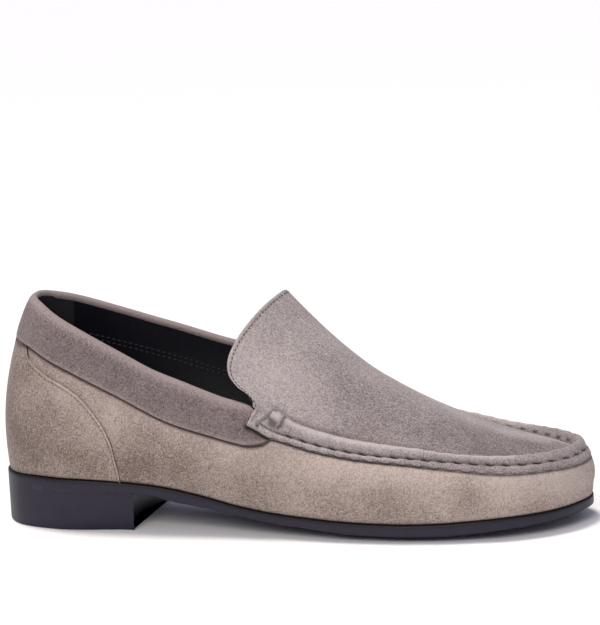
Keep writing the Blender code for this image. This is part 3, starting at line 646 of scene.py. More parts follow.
def wall_normal(s, d):
    """Unit vector out of the wall."""
    s, d = np.broadcast_arrays(np.asarray(s, float), np.asarray(d, float))
    along = wall(s + NORMAL_ALONG, d) - wall(s - NORMAL_ALONG, d)
    down = wall(s, d + NORMAL_DOWN) - wall(s, np.maximum(d - NORMAL_DOWN, 0.0))
    out = np.cross(along, down)
    out /= np.linalg.norm(out, axis=-1)[..., None]
    flip = np.sum((wall(s, d) - LAST_MIDDLE)[..., :2] * out[..., :2], axis=-1) < 0
    return np.where(flip[..., None], -out, out)


def wall_length(s):
    s = np.asarray(s, float)
    return wall_columns(s)[1][:, -1].reshape(s.shape)


def depth_at_height(s, z):
    """Depth where each column reaches height z."""
    pts, run = wall_columns(s)
    z = np.broadcast_to(np.asarray(z, float), (len(pts),))
    return np.array([np.interp(-z[n], -pts[n, :, 2], run[n]) for n in range(len(pts))])


SPINE_POINTS = np.array(SPINE)
SPINE_RUN = run_along(SPINE_POINTS)
K_THROAT = {side: abs(s_at(THROAT_FOOT, side)) for side in (-1, 1)}


def spine(u):
    """Middle line of the apron, 0 at the tongue's top and 1 at its front end."""
    run = np.asarray(u, float) * SPINE_RUN[-1]
    return np.stack([smooth(SPINE_RUN, SPINE_POINTS[:, i], run) for i in range(3)], axis=-1)


def share_at_place(s):
    """Share of the way from the throat to the toe at each s."""
    start = np.where(s < 0, K_THROAT[-1], K_THROAT[1])
    return np.clip((np.abs(s) - start) / (1.0 - start), 0.0, 1.0)


def place_at_share(share, side):
    """The s at a share of the way from the throat to the toe."""
    k = K_THROAT[side]
    return side * (k + (1 - k) * np.asarray(share, float))


def apron(s, w):
    """Apron and tongue: w is 0 at the wall's top line and 1 at the middle line."""
    s, w = np.broadcast_arrays(np.asarray(s, float), np.asarray(w, float))
    share = share_at_place(s)
    u = share ** SPINE_POWER
    edge = top_line(s)
    mid = spine(u)
    next_u = np.minimum(u + SPINE_STEP, 1.0)
    ahead = spine(next_u) - spine(next_u - 2 * SPINE_STEP)
    fall = ahead[..., 2] / ahead[..., 0]
    inward, upward, outside, inside, reach, along, tilt = (
        table(APRON, i, share) for i in range(1, 8))
    span = mid - edge
    low = edge + span * np.stack((inward, inward, upward), axis=-1)
    low[..., 0] -= np.where(s < 0, outside, inside)
    step = -span * np.stack((along, reach, 0 * reach), axis=-1)
    step[..., 2] = fall * step[..., 0] - tilt * step[..., 1]
    made = bezier(edge, low, mid + step, mid, w)
    fade = np.clip(1.0 - share / TONGUE_FADE, 0.0, 1.0) ** 2
    made[..., 0] += fade * table(TONGUE, 1, w)
    made[..., 2] += fade * table(TONGUE, 2, w) - table(TROUGH, 1, share) * table(TROUGH_ACROSS, 1, w)
    return made


def grid_normals(points):
    """Unit normals of a grid of points, by its own two directions."""
    a = np.gradient(points, axis=0)
    b = np.gradient(points, axis=1)
    n = np.cross(a, b)
    return n / np.maximum(np.linalg.norm(n, axis=-1), 1e-9)[..., None]


def hump(x, centre, width):
    return np.exp(-((x - centre) / width) ** 2)


def nap_and_light(points, spots):
    """Lighter and darker spots, each at x and z on the last: partly how the nap lies, partly
    painted light and shade.
    """
    lie = np.zeros(points.shape[:-1])
    for x, z, reach, strength in spots:
        lie += strength * np.exp(-((points[..., 0] - x) ** 2 + (points[..., 2] - z) ** 2) / reach ** 2)
    return lie


def dented(points, dents):
    """Depth of soft troughs, each drawn out along a slope on the last's side."""
    depth = np.zeros(points.shape[:-1])
    for x, z, along, across, slope, deep in dents:
        turn = math.atan(slope)
        far, up = points[..., 0] - x, points[..., 2] - z
        u = far * math.cos(turn) + up * math.sin(turn)
        v = up * math.cos(turn) - far * math.sin(turn)
        depth += deep * np.exp(-(u / along) ** 2 - (v / across) ** 2)
    return depth


def alone(piece):
    """Select one piece and make it active."""
    bpy.ops.object.select_all(action="DESELECT")
    piece.select_set(True)
    bpy.context.view_layer.objects.active = piece


def edit_all(piece, *steps):
    """Run mesh operators, each with its settings, on the whole of a piece."""
    alone(piece)
    bpy.ops.object.mode_set(mode="EDIT")
    for operator, settings in steps:
        bpy.ops.mesh.select_all(action="SELECT")
        operator(**settings)
    bpy.ops.object.mode_set(mode="OBJECT")


def move_points(piece, points):
    flat = (np.asarray(points, float).reshape(-1, 3) - SHIFT) * MM
    piece.data.vertices.foreach_set("co", flat.ravel())
    piece.data.update()


def note(piece, name, values):
    """Keep one number for each point of a piece, which its material reads."""
    kept = piece.data.attributes.new(name, "FLOAT", "POINT")
    kept.data.foreach_set("value", np.clip(np.asarray(values, float).ravel(), -1.0, 1.0))


def sheet(name, points, notes, facing):
    """A grid moved onto points[column, row], welded where its edges meet, turned to face one way."""
    columns, rows = points.shape[:2]
    bpy.ops.object.select_all(action="DESELECT")
    bpy.ops.mesh.primitive_grid_add(x_subdivisions=columns - 1, y_subdivisions=rows - 1, size=0.1)
    piece = bpy.context.object
    piece.name = piece.data.name = name
    move_points(piece, points.transpose(1, 0, 2))
    for key, values in notes.items():
        note(piece, key, np.asarray(values, float).T)
    weld(piece)
    turn(piece, facing)
    return piece


def weld(piece, distance=0.00002):
    edit_all(piece, (bpy.ops.mesh.remove_doubles, {"threshold": distance}))


def close_holes(piece):
    edit_all(piece, (bpy.ops.mesh.fill_holes, {"sides": 0}),
             (bpy.ops.mesh.normals_make_consistent, {"inside": False}))


def turn(piece, facing):
    """Flip a sheet whose faces point against facing(centres)."""
    count = len(piece.data.polygons)
    normals, centres = np.zeros(count * 3), np.zeros(count * 3)
    piece.data.polygons.foreach_get("normal", normals)
    piece.data.polygons.foreach_get("center", centres)
    if np.sum(normals.reshape(-1, 3) * facing(centres.reshape(-1, 3))) <= 0:
        edit_all(piece, (bpy.ops.mesh.flip_normals, {}))


def sideways(centres):
    """Away from the shoe's long middle line."""
    away = np.array(centres)
    away[:, 0] -= np.clip(away[:, 0], *MIDDLE_LINE)
    away[:, 2] = 0.0
    return away


def inwards(centres):
    return -sideways(centres)


def from_heel(centres):
    return centres - (HEEL_MIDDLE - SHIFT) * MM


def upwards(centres):
    return np.tile((0.0, 0.0, 1.0), (len(centres), 1))


def thicken(piece, thickness, inner_material=0):
    """Give a sheet its wall behind the face that shows."""
    alone(piece)
    solid = piece.modifiers.new("Wall", "SOLIDIFY")
    solid.thickness = thickness * MM
    solid.offset = -1.0
    solid.material_offset = inner_material
    bpy.ops.object.modifier_apply(modifier=solid.name)


def finish_piece(piece, slot, *nodes, angle=60.0):
    """Shade a piece, and hang it on the shoe's body in place of its nodes."""
    alone(piece)
    bpy.ops.object.shade_smooth_by_angle(angle=math.radians(angle))
    if nodes:
        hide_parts(*nodes)
    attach(piece, "root")


def dress(piece, *materials):
    """Give a piece its materials, the one that shows first."""
    piece.data.materials.clear()
    for made in materials:
        piece.data.materials.append(made)


def stitches(name, starts, ends, normals, radius, arch, blunt=4):
    """Lengths of thread with round ends, each a stretched ball, joined in one mesh."""
    bpy.ops.object.select_all(action="DESELECT")
    bpy.ops.mesh.primitive_uv_sphere_add(segments=8, ring_count=7, radius=1.0)
    piece = bpy.context.object
    piece.name = piece.data.name = name
    ball = np.array([v.co[:] for v in piece.data.vertices])[:, [2, 0, 1]]
    # Sorted, because the ball's faces come in an order that can change from run to run.
    faces = sorted(tuple(p.vertices) for p in piece.data.polygons)
    starts, ends, normals = (np.asarray(v, float) for v in (starts, ends, normals))
    points, joined = [], []
    for a, b, n in zip(starts, ends, normals):
        along = b - a
        length = np.linalg.norm(along)
        along = along / length
        n = n - along * np.dot(n, along)
        n = n / np.linalg.norm(n)
        across = np.cross(n, along)
        straight = max(length / 2 - radius, 0.0)
        x = ball[:, 0] * radius + np.tanh(ball[:, 0] * blunt) * straight
        bend = arch * (1 - (2 * x / length) ** 2)
        made = ((a + b) / 2 + x[:, None] * along + ball[:, 1:2] * radius * across
                + (ball[:, 2] * radius + bend)[:, None] * n)
        joined += [tuple(i + len(points) * len(ball) for i in face) for face in faces]
        points.append(made)
    mesh = piece.data
    mesh.clear_geometry()
    mesh.from_pydata(((np.concatenate(points) - SHIFT) * MM).tolist(), [], joined)
    mesh.update()
    return piece


def sew(name, starts, ends, normals, radius, arch, thread, slot):
    """Stitches of one kind in their thread, hung on the shoe."""
    made = stitches(name, starts, ends, normals, radius, arch)
    dress(made, finish_of(thread))
    finish_piece(made, slot)


def node(tree, kind, sockets=None, **settings):
    """Add a node with its settings, and set or link its input sockets."""
    made = tree.nodes.new(kind)
    for key, value in settings.items():
        setattr(made, key, value)
    for key, value in (sockets or {}).items():
        if isinstance(value, bpy.types.NodeSocket):
            tree.links.new(value, made.inputs[key])
        else:
            made.inputs[key].default_value = value
    return made


def new_material(name):
    made = bpy.data.materials.new(name)
    made.use_nodes = True
    tree = made.node_tree
    place = node(tree, "ShaderNodeTexCoord").outputs["Object"]
    return made, tree, tree.nodes["Principled BSDF"], place


def per_metre(millimetres):
    """Texture scale whose features are this size on the shoe."""
    return 1.0 / (millimetres * MM)


def suede(name, dark, light, shade):
    """Suede, the inner side of a hide raised into a fine nap: without gloss, it looks lighter or
    darker as it lies, in specks and in soft patches, with a faint sheen where it turns away. The
    soft patches also carry painted light and shade, and creases, slits and overhung edges are
    mixed towards a painted shade colour."""
    made, tree, shader, place = new_material(name)
    # The nap's specks are about 0.5 mm on the real hide and are drawn a little coarser to show.
    nap = node(tree, "ShaderNodeTexNoise", {"Vector": place, "Scale": per_metre(0.8), "Detail": 1.0,
                                            "Roughness": 0.7}).outputs[0]
    tuft = node(tree, "ShaderNodeTexNoise", {"Vector": place, "Scale": per_metre(2.4), "Detail": 2.0,
                                             "Roughness": 0.6}).outputs[0]
    patch = node(tree, "ShaderNodeTexNoise", {"Vector": place, "Scale": per_metre(19.0), "Detail": 3.0,
                                              "Roughness": 0.55}).outputs[0]
    # Lighter or darker nap at each point: partly its own patches, partly painted light and shade.
    lie = node(tree, "ShaderNodeAttribute", attribute_name="lie").outputs["Fac"]
    fine = node(tree, "ShaderNodeMath", {0: nap, 1: 2.2, 2: lie}, operation="MULTIPLY_ADD").outputs[0]
    mid = node(tree, "ShaderNodeMath", {0: tuft, 1: 0.55, 2: fine}, operation="MULTIPLY_ADD").outputs[0]
    wide = node(tree, "ShaderNodeMath", {0: patch, 1: 0.6, 2: mid}, operation="MULTIPLY_ADD").outputs[0]
    tone = node(tree, "ShaderNodeMapRange", {"Value": wide, "From Min": 0.95, "From Max": 2.35}).outputs[0]
    colour = node(tree, "ShaderNodeMix", {0: tone, 6: (*dark, 1.0), 7: (*light, 1.0)},
                  data_type="RGBA").outputs[2]
    # Painted shade: creases, slits and overhung edges mixed towards a dark shade colour.
    fold = node(tree, "ShaderNodeAttribute", attribute_name="crease").outputs["Fac"]
    folded = node(tree, "ShaderNodeMix", {0: fold, 6: colour, 7: (*shade, 1.0)},
                  data_type="RGBA").outputs[2]
    tree.links.new(folded, shader.inputs["Base Color"])
    relief = node(tree, "ShaderNodeMath", {0: tuft, 1: 0.5, 2: nap}, operation="MULTIPLY_ADD").outputs[0]
    bump = node(tree, "ShaderNodeBump", {"Height": relief, "Strength": 0.4, "Distance": 0.5 * MM})
    tree.links.new(bump.outputs[0], shader.inputs["Normal"])
    shader.inputs["Roughness"].default_value = 0.92
    shader.inputs["Specular IOR Level"].default_value = 0.2
    shader.inputs["Sheen Weight"].default_value = 0.12
    shader.inputs["Sheen Roughness"].default_value = 0.45
    return made


def smooth_leather(name, colour, patch_colour):
    """Black lining leather: a smooth finished grain with a soft gloss; its heel grip is napped."""
    made, tree, shader, place = new_material(name)
    grain = node(tree, "ShaderNodeTexVoronoi", {"Vector": place, "Scale": per_metre(0.9)}).outputs[0]
    wrinkle = node(tree, "ShaderNodeTexNoise", {"Vector": place, "Scale": per_metre(9.0),
                                                "Detail": 3.0}).outputs[0]
    relief = node(tree, "ShaderNodeMath", {0: wrinkle, 1: 2.0, 2: grain}, operation="MULTIPLY_ADD").outputs[0]
    bump = node(tree, "ShaderNodeBump", {"Height": relief, "Strength": 0.18, "Distance": 0.25 * MM})
    tree.links.new(bump.outputs[0], shader.inputs["Normal"])
    grip = node(tree, "ShaderNodeAttribute", attribute_name="grip").outputs["Fac"]
    tone = node(tree, "ShaderNodeMix", {0: grip, 6: (*colour, 1.0), 7: (*patch_colour, 1.0)},
                data_type="RGBA").outputs[2]
    tree.links.new(tone, shader.inputs["Base Color"])
    gloss = node(tree, "ShaderNodeMapRange", {"Value": grip, "To Min": 0.42, "To Max": 0.8}).outputs[0]
    tree.links.new(gloss, shader.inputs["Roughness"])
    return made


def satin_rubber(name, colour, worn, groove):
    """Sole edge: black rubber trimmed and inked to a satin, a little duller where it was buffed, and
    darkened with painted shade in the groove under the upper."""
    made, tree, shader, place = new_material(name)
    buff = node(tree, "ShaderNodeTexNoise", {"Vector": place, "Scale": per_metre(6.0), "Detail": 4.0,
                                             "Roughness": 0.6}).outputs[0]
    grit = node(tree, "ShaderNodeTexNoise", {"Vector": place, "Scale": per_metre(0.8),
                                             "Detail": 2.0}).outputs[0]
    tone = node(tree, "ShaderNodeMapRange", {"Value": buff, "From Min": 0.3, "From Max": 0.75}).outputs[0]
    mixed = node(tree, "ShaderNodeMix", {0: tone, 6: (*colour, 1.0), 7: (*worn, 1.0)},
                 data_type="RGBA").outputs[2]
    # Painted shade in the groove under the upper, mixed towards a near-black colour.
    fold = node(tree, "ShaderNodeAttribute", attribute_name="crease").outputs["Fac"]
    inked = node(tree, "ShaderNodeMix", {0: fold, 6: mixed, 7: (*groove, 1.0)}, data_type="RGBA").outputs[2]
    tree.links.new(inked, shader.inputs["Base Color"])
    shader.inputs["Specular IOR Level"].default_value = 0.35
    gloss = node(tree, "ShaderNodeMapRange", {"Value": buff, "To Min": 0.4, "To Max": 0.56}).outputs[0]
    tree.links.new(gloss, shader.inputs["Roughness"])
    bump = node(tree, "ShaderNodeBump", {"Height": grit, "Strength": 0.12, "Distance": 0.15 * MM})
    tree.links.new(bump.outputs[0], shader.inputs["Normal"])
    return made


def waxed_thread(name, colour):
    """Waxed polyester thread: twisted filaments with a dull shine."""
    made, tree, shader, place = new_material(name)
    twist = node(tree, "ShaderNodeTexNoise", {"Vector": place, "Scale": per_metre(0.5)}).outputs[0]
    dark = tuple(c * 0.7 for c in colour)
    mixed = node(tree, "ShaderNodeMix", {0: twist, 6: (*dark, 1.0), 7: (*colour, 1.0)},
                 data_type="RGBA").outputs[2]
    tree.links.new(mixed, shader.inputs["Base Color"])
    shader.inputs["Roughness"].default_value = 0.55
    return made


FINISHES = {
    # finish: how it is made, the material's name, its colours in the panel
    # The last colour of each suede and of the rubber is a painted shade colour.
    "wall": (suede, "Warm suede of the wall", "wall_dark", "wall_light", "wall_fold"),
    "apron": (suede, "Grey suede of the apron", "apron_dark", "apron_light", "apron_fold"),
    "cuff": (suede, "Dark suede of the cuff", "cuff_dark", "cuff_light", "cuff_fold"),
    "lining": (smooth_leather, "Black lining leather", "lining", "heel_grip"),
    "sole": (satin_rubber, "Satin black rubber", "sole", "sole_worn", "sole_groove"),
    "seam_thread": (waxed_thread, "Grey seam thread", "seam_thread"),
    "bar_thread": (waxed_thread, "Grey bar thread", "bar_thread"),
    "counter_thread": (waxed_thread, "Brown counter thread", "counter_thread"),
    "dark_thread": (waxed_thread, "Dark brown thread", "dark_thread"),
    "black_thread": (waxed_thread, "Black thread", "black_thread"),
}
MADE = {}


def finish_of(key):
    """The material of one finish, made once from the colours in the panel."""
    if key not in MADE:
        make, name, *colours = FINISHES[key]
        group = bpy.context.scene.loafer_colours
        MADE[key] = make(name, *(getattr(group, colour) for colour in colours))
    return MADE[key]


def length_of(value):
    """A property in metres as millimetres."""
    return value / MM


def size(name, description, millimetres):
    return bpy.props.FloatProperty(name=name, description=description, default=millimetres * MM,
                                   min=0.0, unit="LENGTH", precision=5)


def hue(name, description, code):
    return bpy.props.FloatVectorProperty(name=name, description=description, default=linear(code),
                                         min=0.0, max=1.0, size=3, subtype="COLOR")


class LoaferSizes(bpy.types.PropertyGroup):
    """Sizes of the loafer's seams and edges."""
    stitch_pitch: size("Seam stitch", "Distance between two stitches of the moccasin seam", 7.8)
    lower_roll: size("Lower roll", "Height of the seam's lower roll", 1.6)
    seam_thread: size("Seam thread", "Diameter of the moccasin seam's thread", 0.7)
    bar_thread: size("Bar stitch", "Diameter of the thick stitch at the throat", 1.8)
    tongue_pitch: size("Tongue stitch", "Distance between two stitches along the tongue", 2.2)
    tongue_margin: size("Tongue margin", "Distance of the tongue's stitches from its edge", 2.1)
    counter_edge: size("Counter edge", "Thickness of the counter's folded edge", 1.1)
    lining_wall: size("Wall", "Distance of the lining from the suede's face", 2.35)
    sole_edge: size("Sole edge", "Radius of the sole's edges", 0.9)


class LoaferColours(bpy.types.PropertyGroup):
    """Colours of the loafer's finishes."""
    # Each suede's third colour is a painted shade colour for its creases and the edges that overhang it.
    wall_dark: hue("Wall dark", "Darker nap of the wall", "#6d5f58")
    wall_light: hue("Wall light", "Lighter nap of the wall", "#bcaea6")
    wall_fold: hue("Wall fold", "Painted shade in the folds of the wall", "#2c2422")
    apron_dark: hue("Apron dark", "Darker nap of the apron", "#665d5d")
    apron_light: hue("Apron light", "Lighter nap of the apron", "#b6adac")
    apron_fold: hue("Apron fold", "Painted shade in the seam's folds", "#292122")
    cuff_dark: hue("Cuff dark", "Darker nap of the cuff", "#4d4140")
    cuff_light: hue("Cuff light", "Lighter nap of the cuff", "#958988")
    cuff_fold: hue("Cuff fold", "Painted shade in the cuff's folds", "#1e1918")
    lining: hue("Lining", "Smooth lining leather", "#0a0914")
    heel_grip: hue("Heel grip", "Napped patch inside the heel", "#1d1b20")
    sole: hue("Sole", "Inked edge of the sole and heel", "#1a1729")
    sole_worn: hue("Sole buffed", "Buffed places of the sole's edge", "#221f32")
    sole_groove: hue("Sole groove", "Painted shade in the groove between the sole and the upper", "#0c0b0d")
    seam_thread: hue("Seam thread", "Thread of the moccasin seam", "#8a7f7e")
    bar_thread: hue("Bar thread", "Thick thread at the throat", "#7e7d7c")
    dark_thread: hue("Tongue thread", "Thread along the tongue", "#574945")
    counter_thread: hue("Counter thread", "Thread along the heel counter", "#6f5f57")
    black_thread: hue("Lining thread", "Thread in the lining", "#2e2e3a")


def half_width(s):
    """Half the sole's width at each place, by its opposite edge."""
    xy = on_edge(s)[0]
    other = np.where(np.asarray(s) < 0, s_at(xy[..., 0], 1), s_at(xy[..., 0], -1))
    return np.abs(xy[..., 1] - on_edge(other)[0][..., 1]) / 2


def cuff_width(s):
    """Depth of the cuff's lower edge; the inner side has the outer side's band."""
    x = foot_x(s)
    outer = s_at(x, -1)
    return depth_at_height(outer, table(CUFF_EDGE, 1, x))


def seam_line(s, which):
    """Depth of one of the seam's lines, or the height of its roll, at each place."""
    return table(SEAM_LINES, which, foot_x(s))


def front_path(start_foot, step, samples=700):
    """Places from the outer throat round the toe to the inner throat, evenly spaced, and their run."""
    outer = np.linspace(s_at(start_foot, -1), -1.0, samples)
    inner = np.linspace(1.0, s_at(start_foot, 1), samples)
    run = run_along(top_line(np.concatenate((outer, inner[1:]))))
    even = np.linspace(0.0, run[-1], int(run[-1] / step) + 1)
    s = np.where(even <= run[samples - 1], np.interp(even, run[:samples], outer),
                 np.interp(even, run[samples - 1:], inner))
    return s, even


def line_distance(x, d, start, end):
    """Distance of places on the seam from a short line on it."""
    start, end = np.array(start), np.array(end)
    along = end - start
    t = ((x - start[0]) * along[0] + (d - start[1]) * along[1]) / np.dot(along, along)
    t = np.clip(t, 0.0, 1.0)
    return np.hypot(x - start[0] - t * along[0], d - start[1] - t * along[1])


def across_at(place, length, near=0.05):
    """Share across the apron at a length in from its edge, by its first stretch."""
    step = np.linalg.norm(apron(place, near) - apron(place, 0.0), axis=-1)
    return near * length / step


def seam_grid(s, run, share):
    """The seam's points before they are raised, and all that its rolls and marks depend on there.
    A share is 0 at the apron, 1 at the stitch row and 2 at the lower edge."""
    pitch = length_of(bpy.context.scene.loafer_sizes.stitch_pitch)
    ends = np.minimum(run, run.max() - run)
    rolled = ease(FLAP_END, ROLL_FULL, ends)
    phase = (run - STITCH_SHIFT) / pitch
    pucker = -np.cos(2 * np.pi * phase) * rolled
    tuck, high, row, edge = (seam_line(s, i) for i in (SEAM_START, SEAM_HEIGHT, SEAM_ROW, SEAM_EDGE))
    edge = edge + EDGE_PUCKER * pucker
    trough = table(TROUGH, 1, share_at_place(s))
    s, ends, rolled, phase, pucker, tuck, high, row, edge, trough = (
        np.repeat(v[:, None], len(share), axis=1)
        for v in (s, ends, rolled, phase, pucker, tuck, high, row, edge, trough))
    share = np.broadcast_to(share, s.shape)
    d = np.where(share <= 1.0, tuck + (row - tuck) * share, row + (edge - row) * (share - 1.0))
    skew = SKEW_START * (1.0 - np.clip(d / edge, 0.0, 1.0)) * (1.0 - ease(0.0, SKEW_FADE, ends))
    x = foot_x(s)
    skewed = np.where(s < 0, s_at(x + skew, -1), s_at(x + skew, 1))
    place = np.where(skew > 0.0, skewed, s)
    w = across_at(place, np.maximum(-d, 0.0))
    base = np.where((d < 0.0)[..., None], apron(place, w), wall(place, d))
    sunk = np.clip(d / tuck, 0.0, 1.0) ** TROUGH_SINK
    base[..., 2] += trough * np.where(d < 0.0, table(TROUGH_ACROSS, 1, w) - sunk, 0.0)
    return SimpleNamespace(
        base=base, out=wall_normal(place, np.maximum(d, 0.0)), x=x + 0.5 * skew, d=d, share=share,
        ends=ends, rolled=rolled, at_toe=ease(*TOE_ZONE, x), pucker=pucker, trough=trough,
        along=((phase + 0.5) % 1.0 - 0.5) * pitch, high=high, row=row, edge=edge)


def seam_rolls(at):
    """Height of the two rolls that the stitches draw together; round the toe they join."""
    low = length_of(bpy.context.scene.loafer_sizes.lower_roll)
    upper_share = np.clip(at.share, 0.0, 1.0) ** UPPER_LEAN
    upper_round = np.sin(np.pi * upper_share).clip(0.0) ** UPPER_ROUND
    upper = at.high * (1 + UPPER_PUCKER * at.pucker) * upper_round - ROLL_FOOT
    lower_round = np.sin(np.pi * np.clip(at.share - 1.0, 0.0, 1.0)).clip(0.0) ** LOWER_ROUND
    lower = low * (1 + LOWER_PUCKER * at.pucker) * lower_round - ROLL_FOOT
    rolls = np.where(at.share <= 1.0, upper, lower * (1 - TOE_FLATTER * at.at_toe))
    return np.maximum(rolls, TOE_JOIN * at.at_toe * hump(at.share, 1.0, 0.5))


def seam_flap(at):
    """Height of the seam's flat end, which comes down to the wall all round."""
    across = np.clip(at.share / 2.0, 0.0, 1.0)
    lower_edge = 1 - np.clip(2 * across - 1, 0.0, 1.0) ** 9
    flap = FLAP_RISE * ease(-0.05, 0.5, across) * lower_edge - FLAP_FOOT
    free_edge = np.sqrt(1 - (1 - np.clip(at.ends / FLAP_ROUND, 0.0, 1.0)) ** 2)
    return FLAP_EDGE + (flap - FLAP_EDGE) * free_edge


def seam_marks(at):
    """Strength of each small mark over the seam, with its depth and its darkness, which is painted shade."""
    stitched = ease(FIRST_STITCH - STITCH_FADE, FIRST_STITCH, at.ends)
    dash = np.exp(-(at.along / DASH_REACH) ** 4) * stitched
    slit = dash * hump(at.d - at.row - DASH_SLANT * at.along, 0.0, DASH_WIDTH)
    inner_line = INNER_ROW + INNER_SLANT * at.along
    inner = dash * hump(at.share, inner_line, INNER_WIDTH) * ease(*INNER_TROUGH, at.trough)
    bar_holes = np.maximum(hump(np.hypot(at.x - BAR_LOW[0], at.d - BAR_LOW[1]), 0.0, 1.0),
                           hump(np.hypot(at.x - BAR_HIGH[0], at.d - BAR_HIGH[1]), 0.0, 1.2))
    dimple = np.exp(-((at.x - DIMPLE[0]) / DIMPLE[2]) ** 4 - ((at.d - DIMPLE[1]) / DIMPLE[3]) ** 4)
    wrap = hump(line_distance(at.x, at.d, *WRAP), 0.0, WRAP_WIDTH)
    row_fold = hump(at.d, at.row, ROW_FOLD_WIDTH) * ease(*ROW_FOLD_START, at.ends)
    hem = hump(at.ends, HEM_MARGIN, HEM_WIDTH) * ease(*HEM_TOP, at.d) * ease(*HEM_BOTTOM, at.d)
    return (
        # strength, depth, darkness
        (slit, 0.8, 1.0), (inner, 0.2, 0.95), (bar_holes, 0.6, 1.0), (dimple, 1.0, 0.62),
        (wrap, 0.8, 0.8), (row_fold, 0.35 * (1 - at.rolled), 0.6), (hem, 0.25, 0.5),
    )


def seam_highlights(at):
    """How light the nap looks: a painted highlight on the upper roll, less round the toe, the lower
    roll a little darker with a painted highlight just under the stitches, and the flat ends lighter
    with a painted highlight at their cut edge.
    """
    upper = (0.78 - 0.8 * ease(*HIGHLIGHT_ENDS, at.x)) * hump(at.share, 0.36, 0.22) * at.rolled
    lower = (0.05 + 0.05 * ease(*LOWER_DARKENS, at.x)) * (at.share > 1.0)
    back = 0.3 * hump(at.share, 1.35, 0.22) * ease(*LOWER_HIGHLIGHT_ENDS, at.x)
    flat = (1 - at.rolled) * (0.15 * ease(1.0, 5.0, at.ends) + 0.3 * hump(at.ends, 0.8, 0.6))
    return upper - lower + back + flat


def seam_skin(s, run, share):
    """Points, normals, painted shade, and lightness with painted highlights of the moccasin seam."""
    at = seam_grid(s, run, share)
    lift = seam_flap(at) * (1 - at.rolled) + seam_rolls(at) * at.rolled
    # Painted shade under the seam's lower edge and along its top against the apron.
    lower_shade = hump(at.d, at.edge, LOWER_SHADE_WIDTH) * ease(*LOWER_SHADE_START, at.ends)
    upper_shade = 0.45 * hump(at.share, 0.0, 0.06) * ease(*UPPER_SHADE_START, at.ends)
    dark = np.maximum(lower_shade, upper_shade)
    for mark, depth, darkness in seam_marks(at):
        lift = lift - depth * mark
        dark = np.maximum(dark, darkness * mark)
    return at.base + at.out * lift[..., None], at.out, dark, seam_highlights(at)


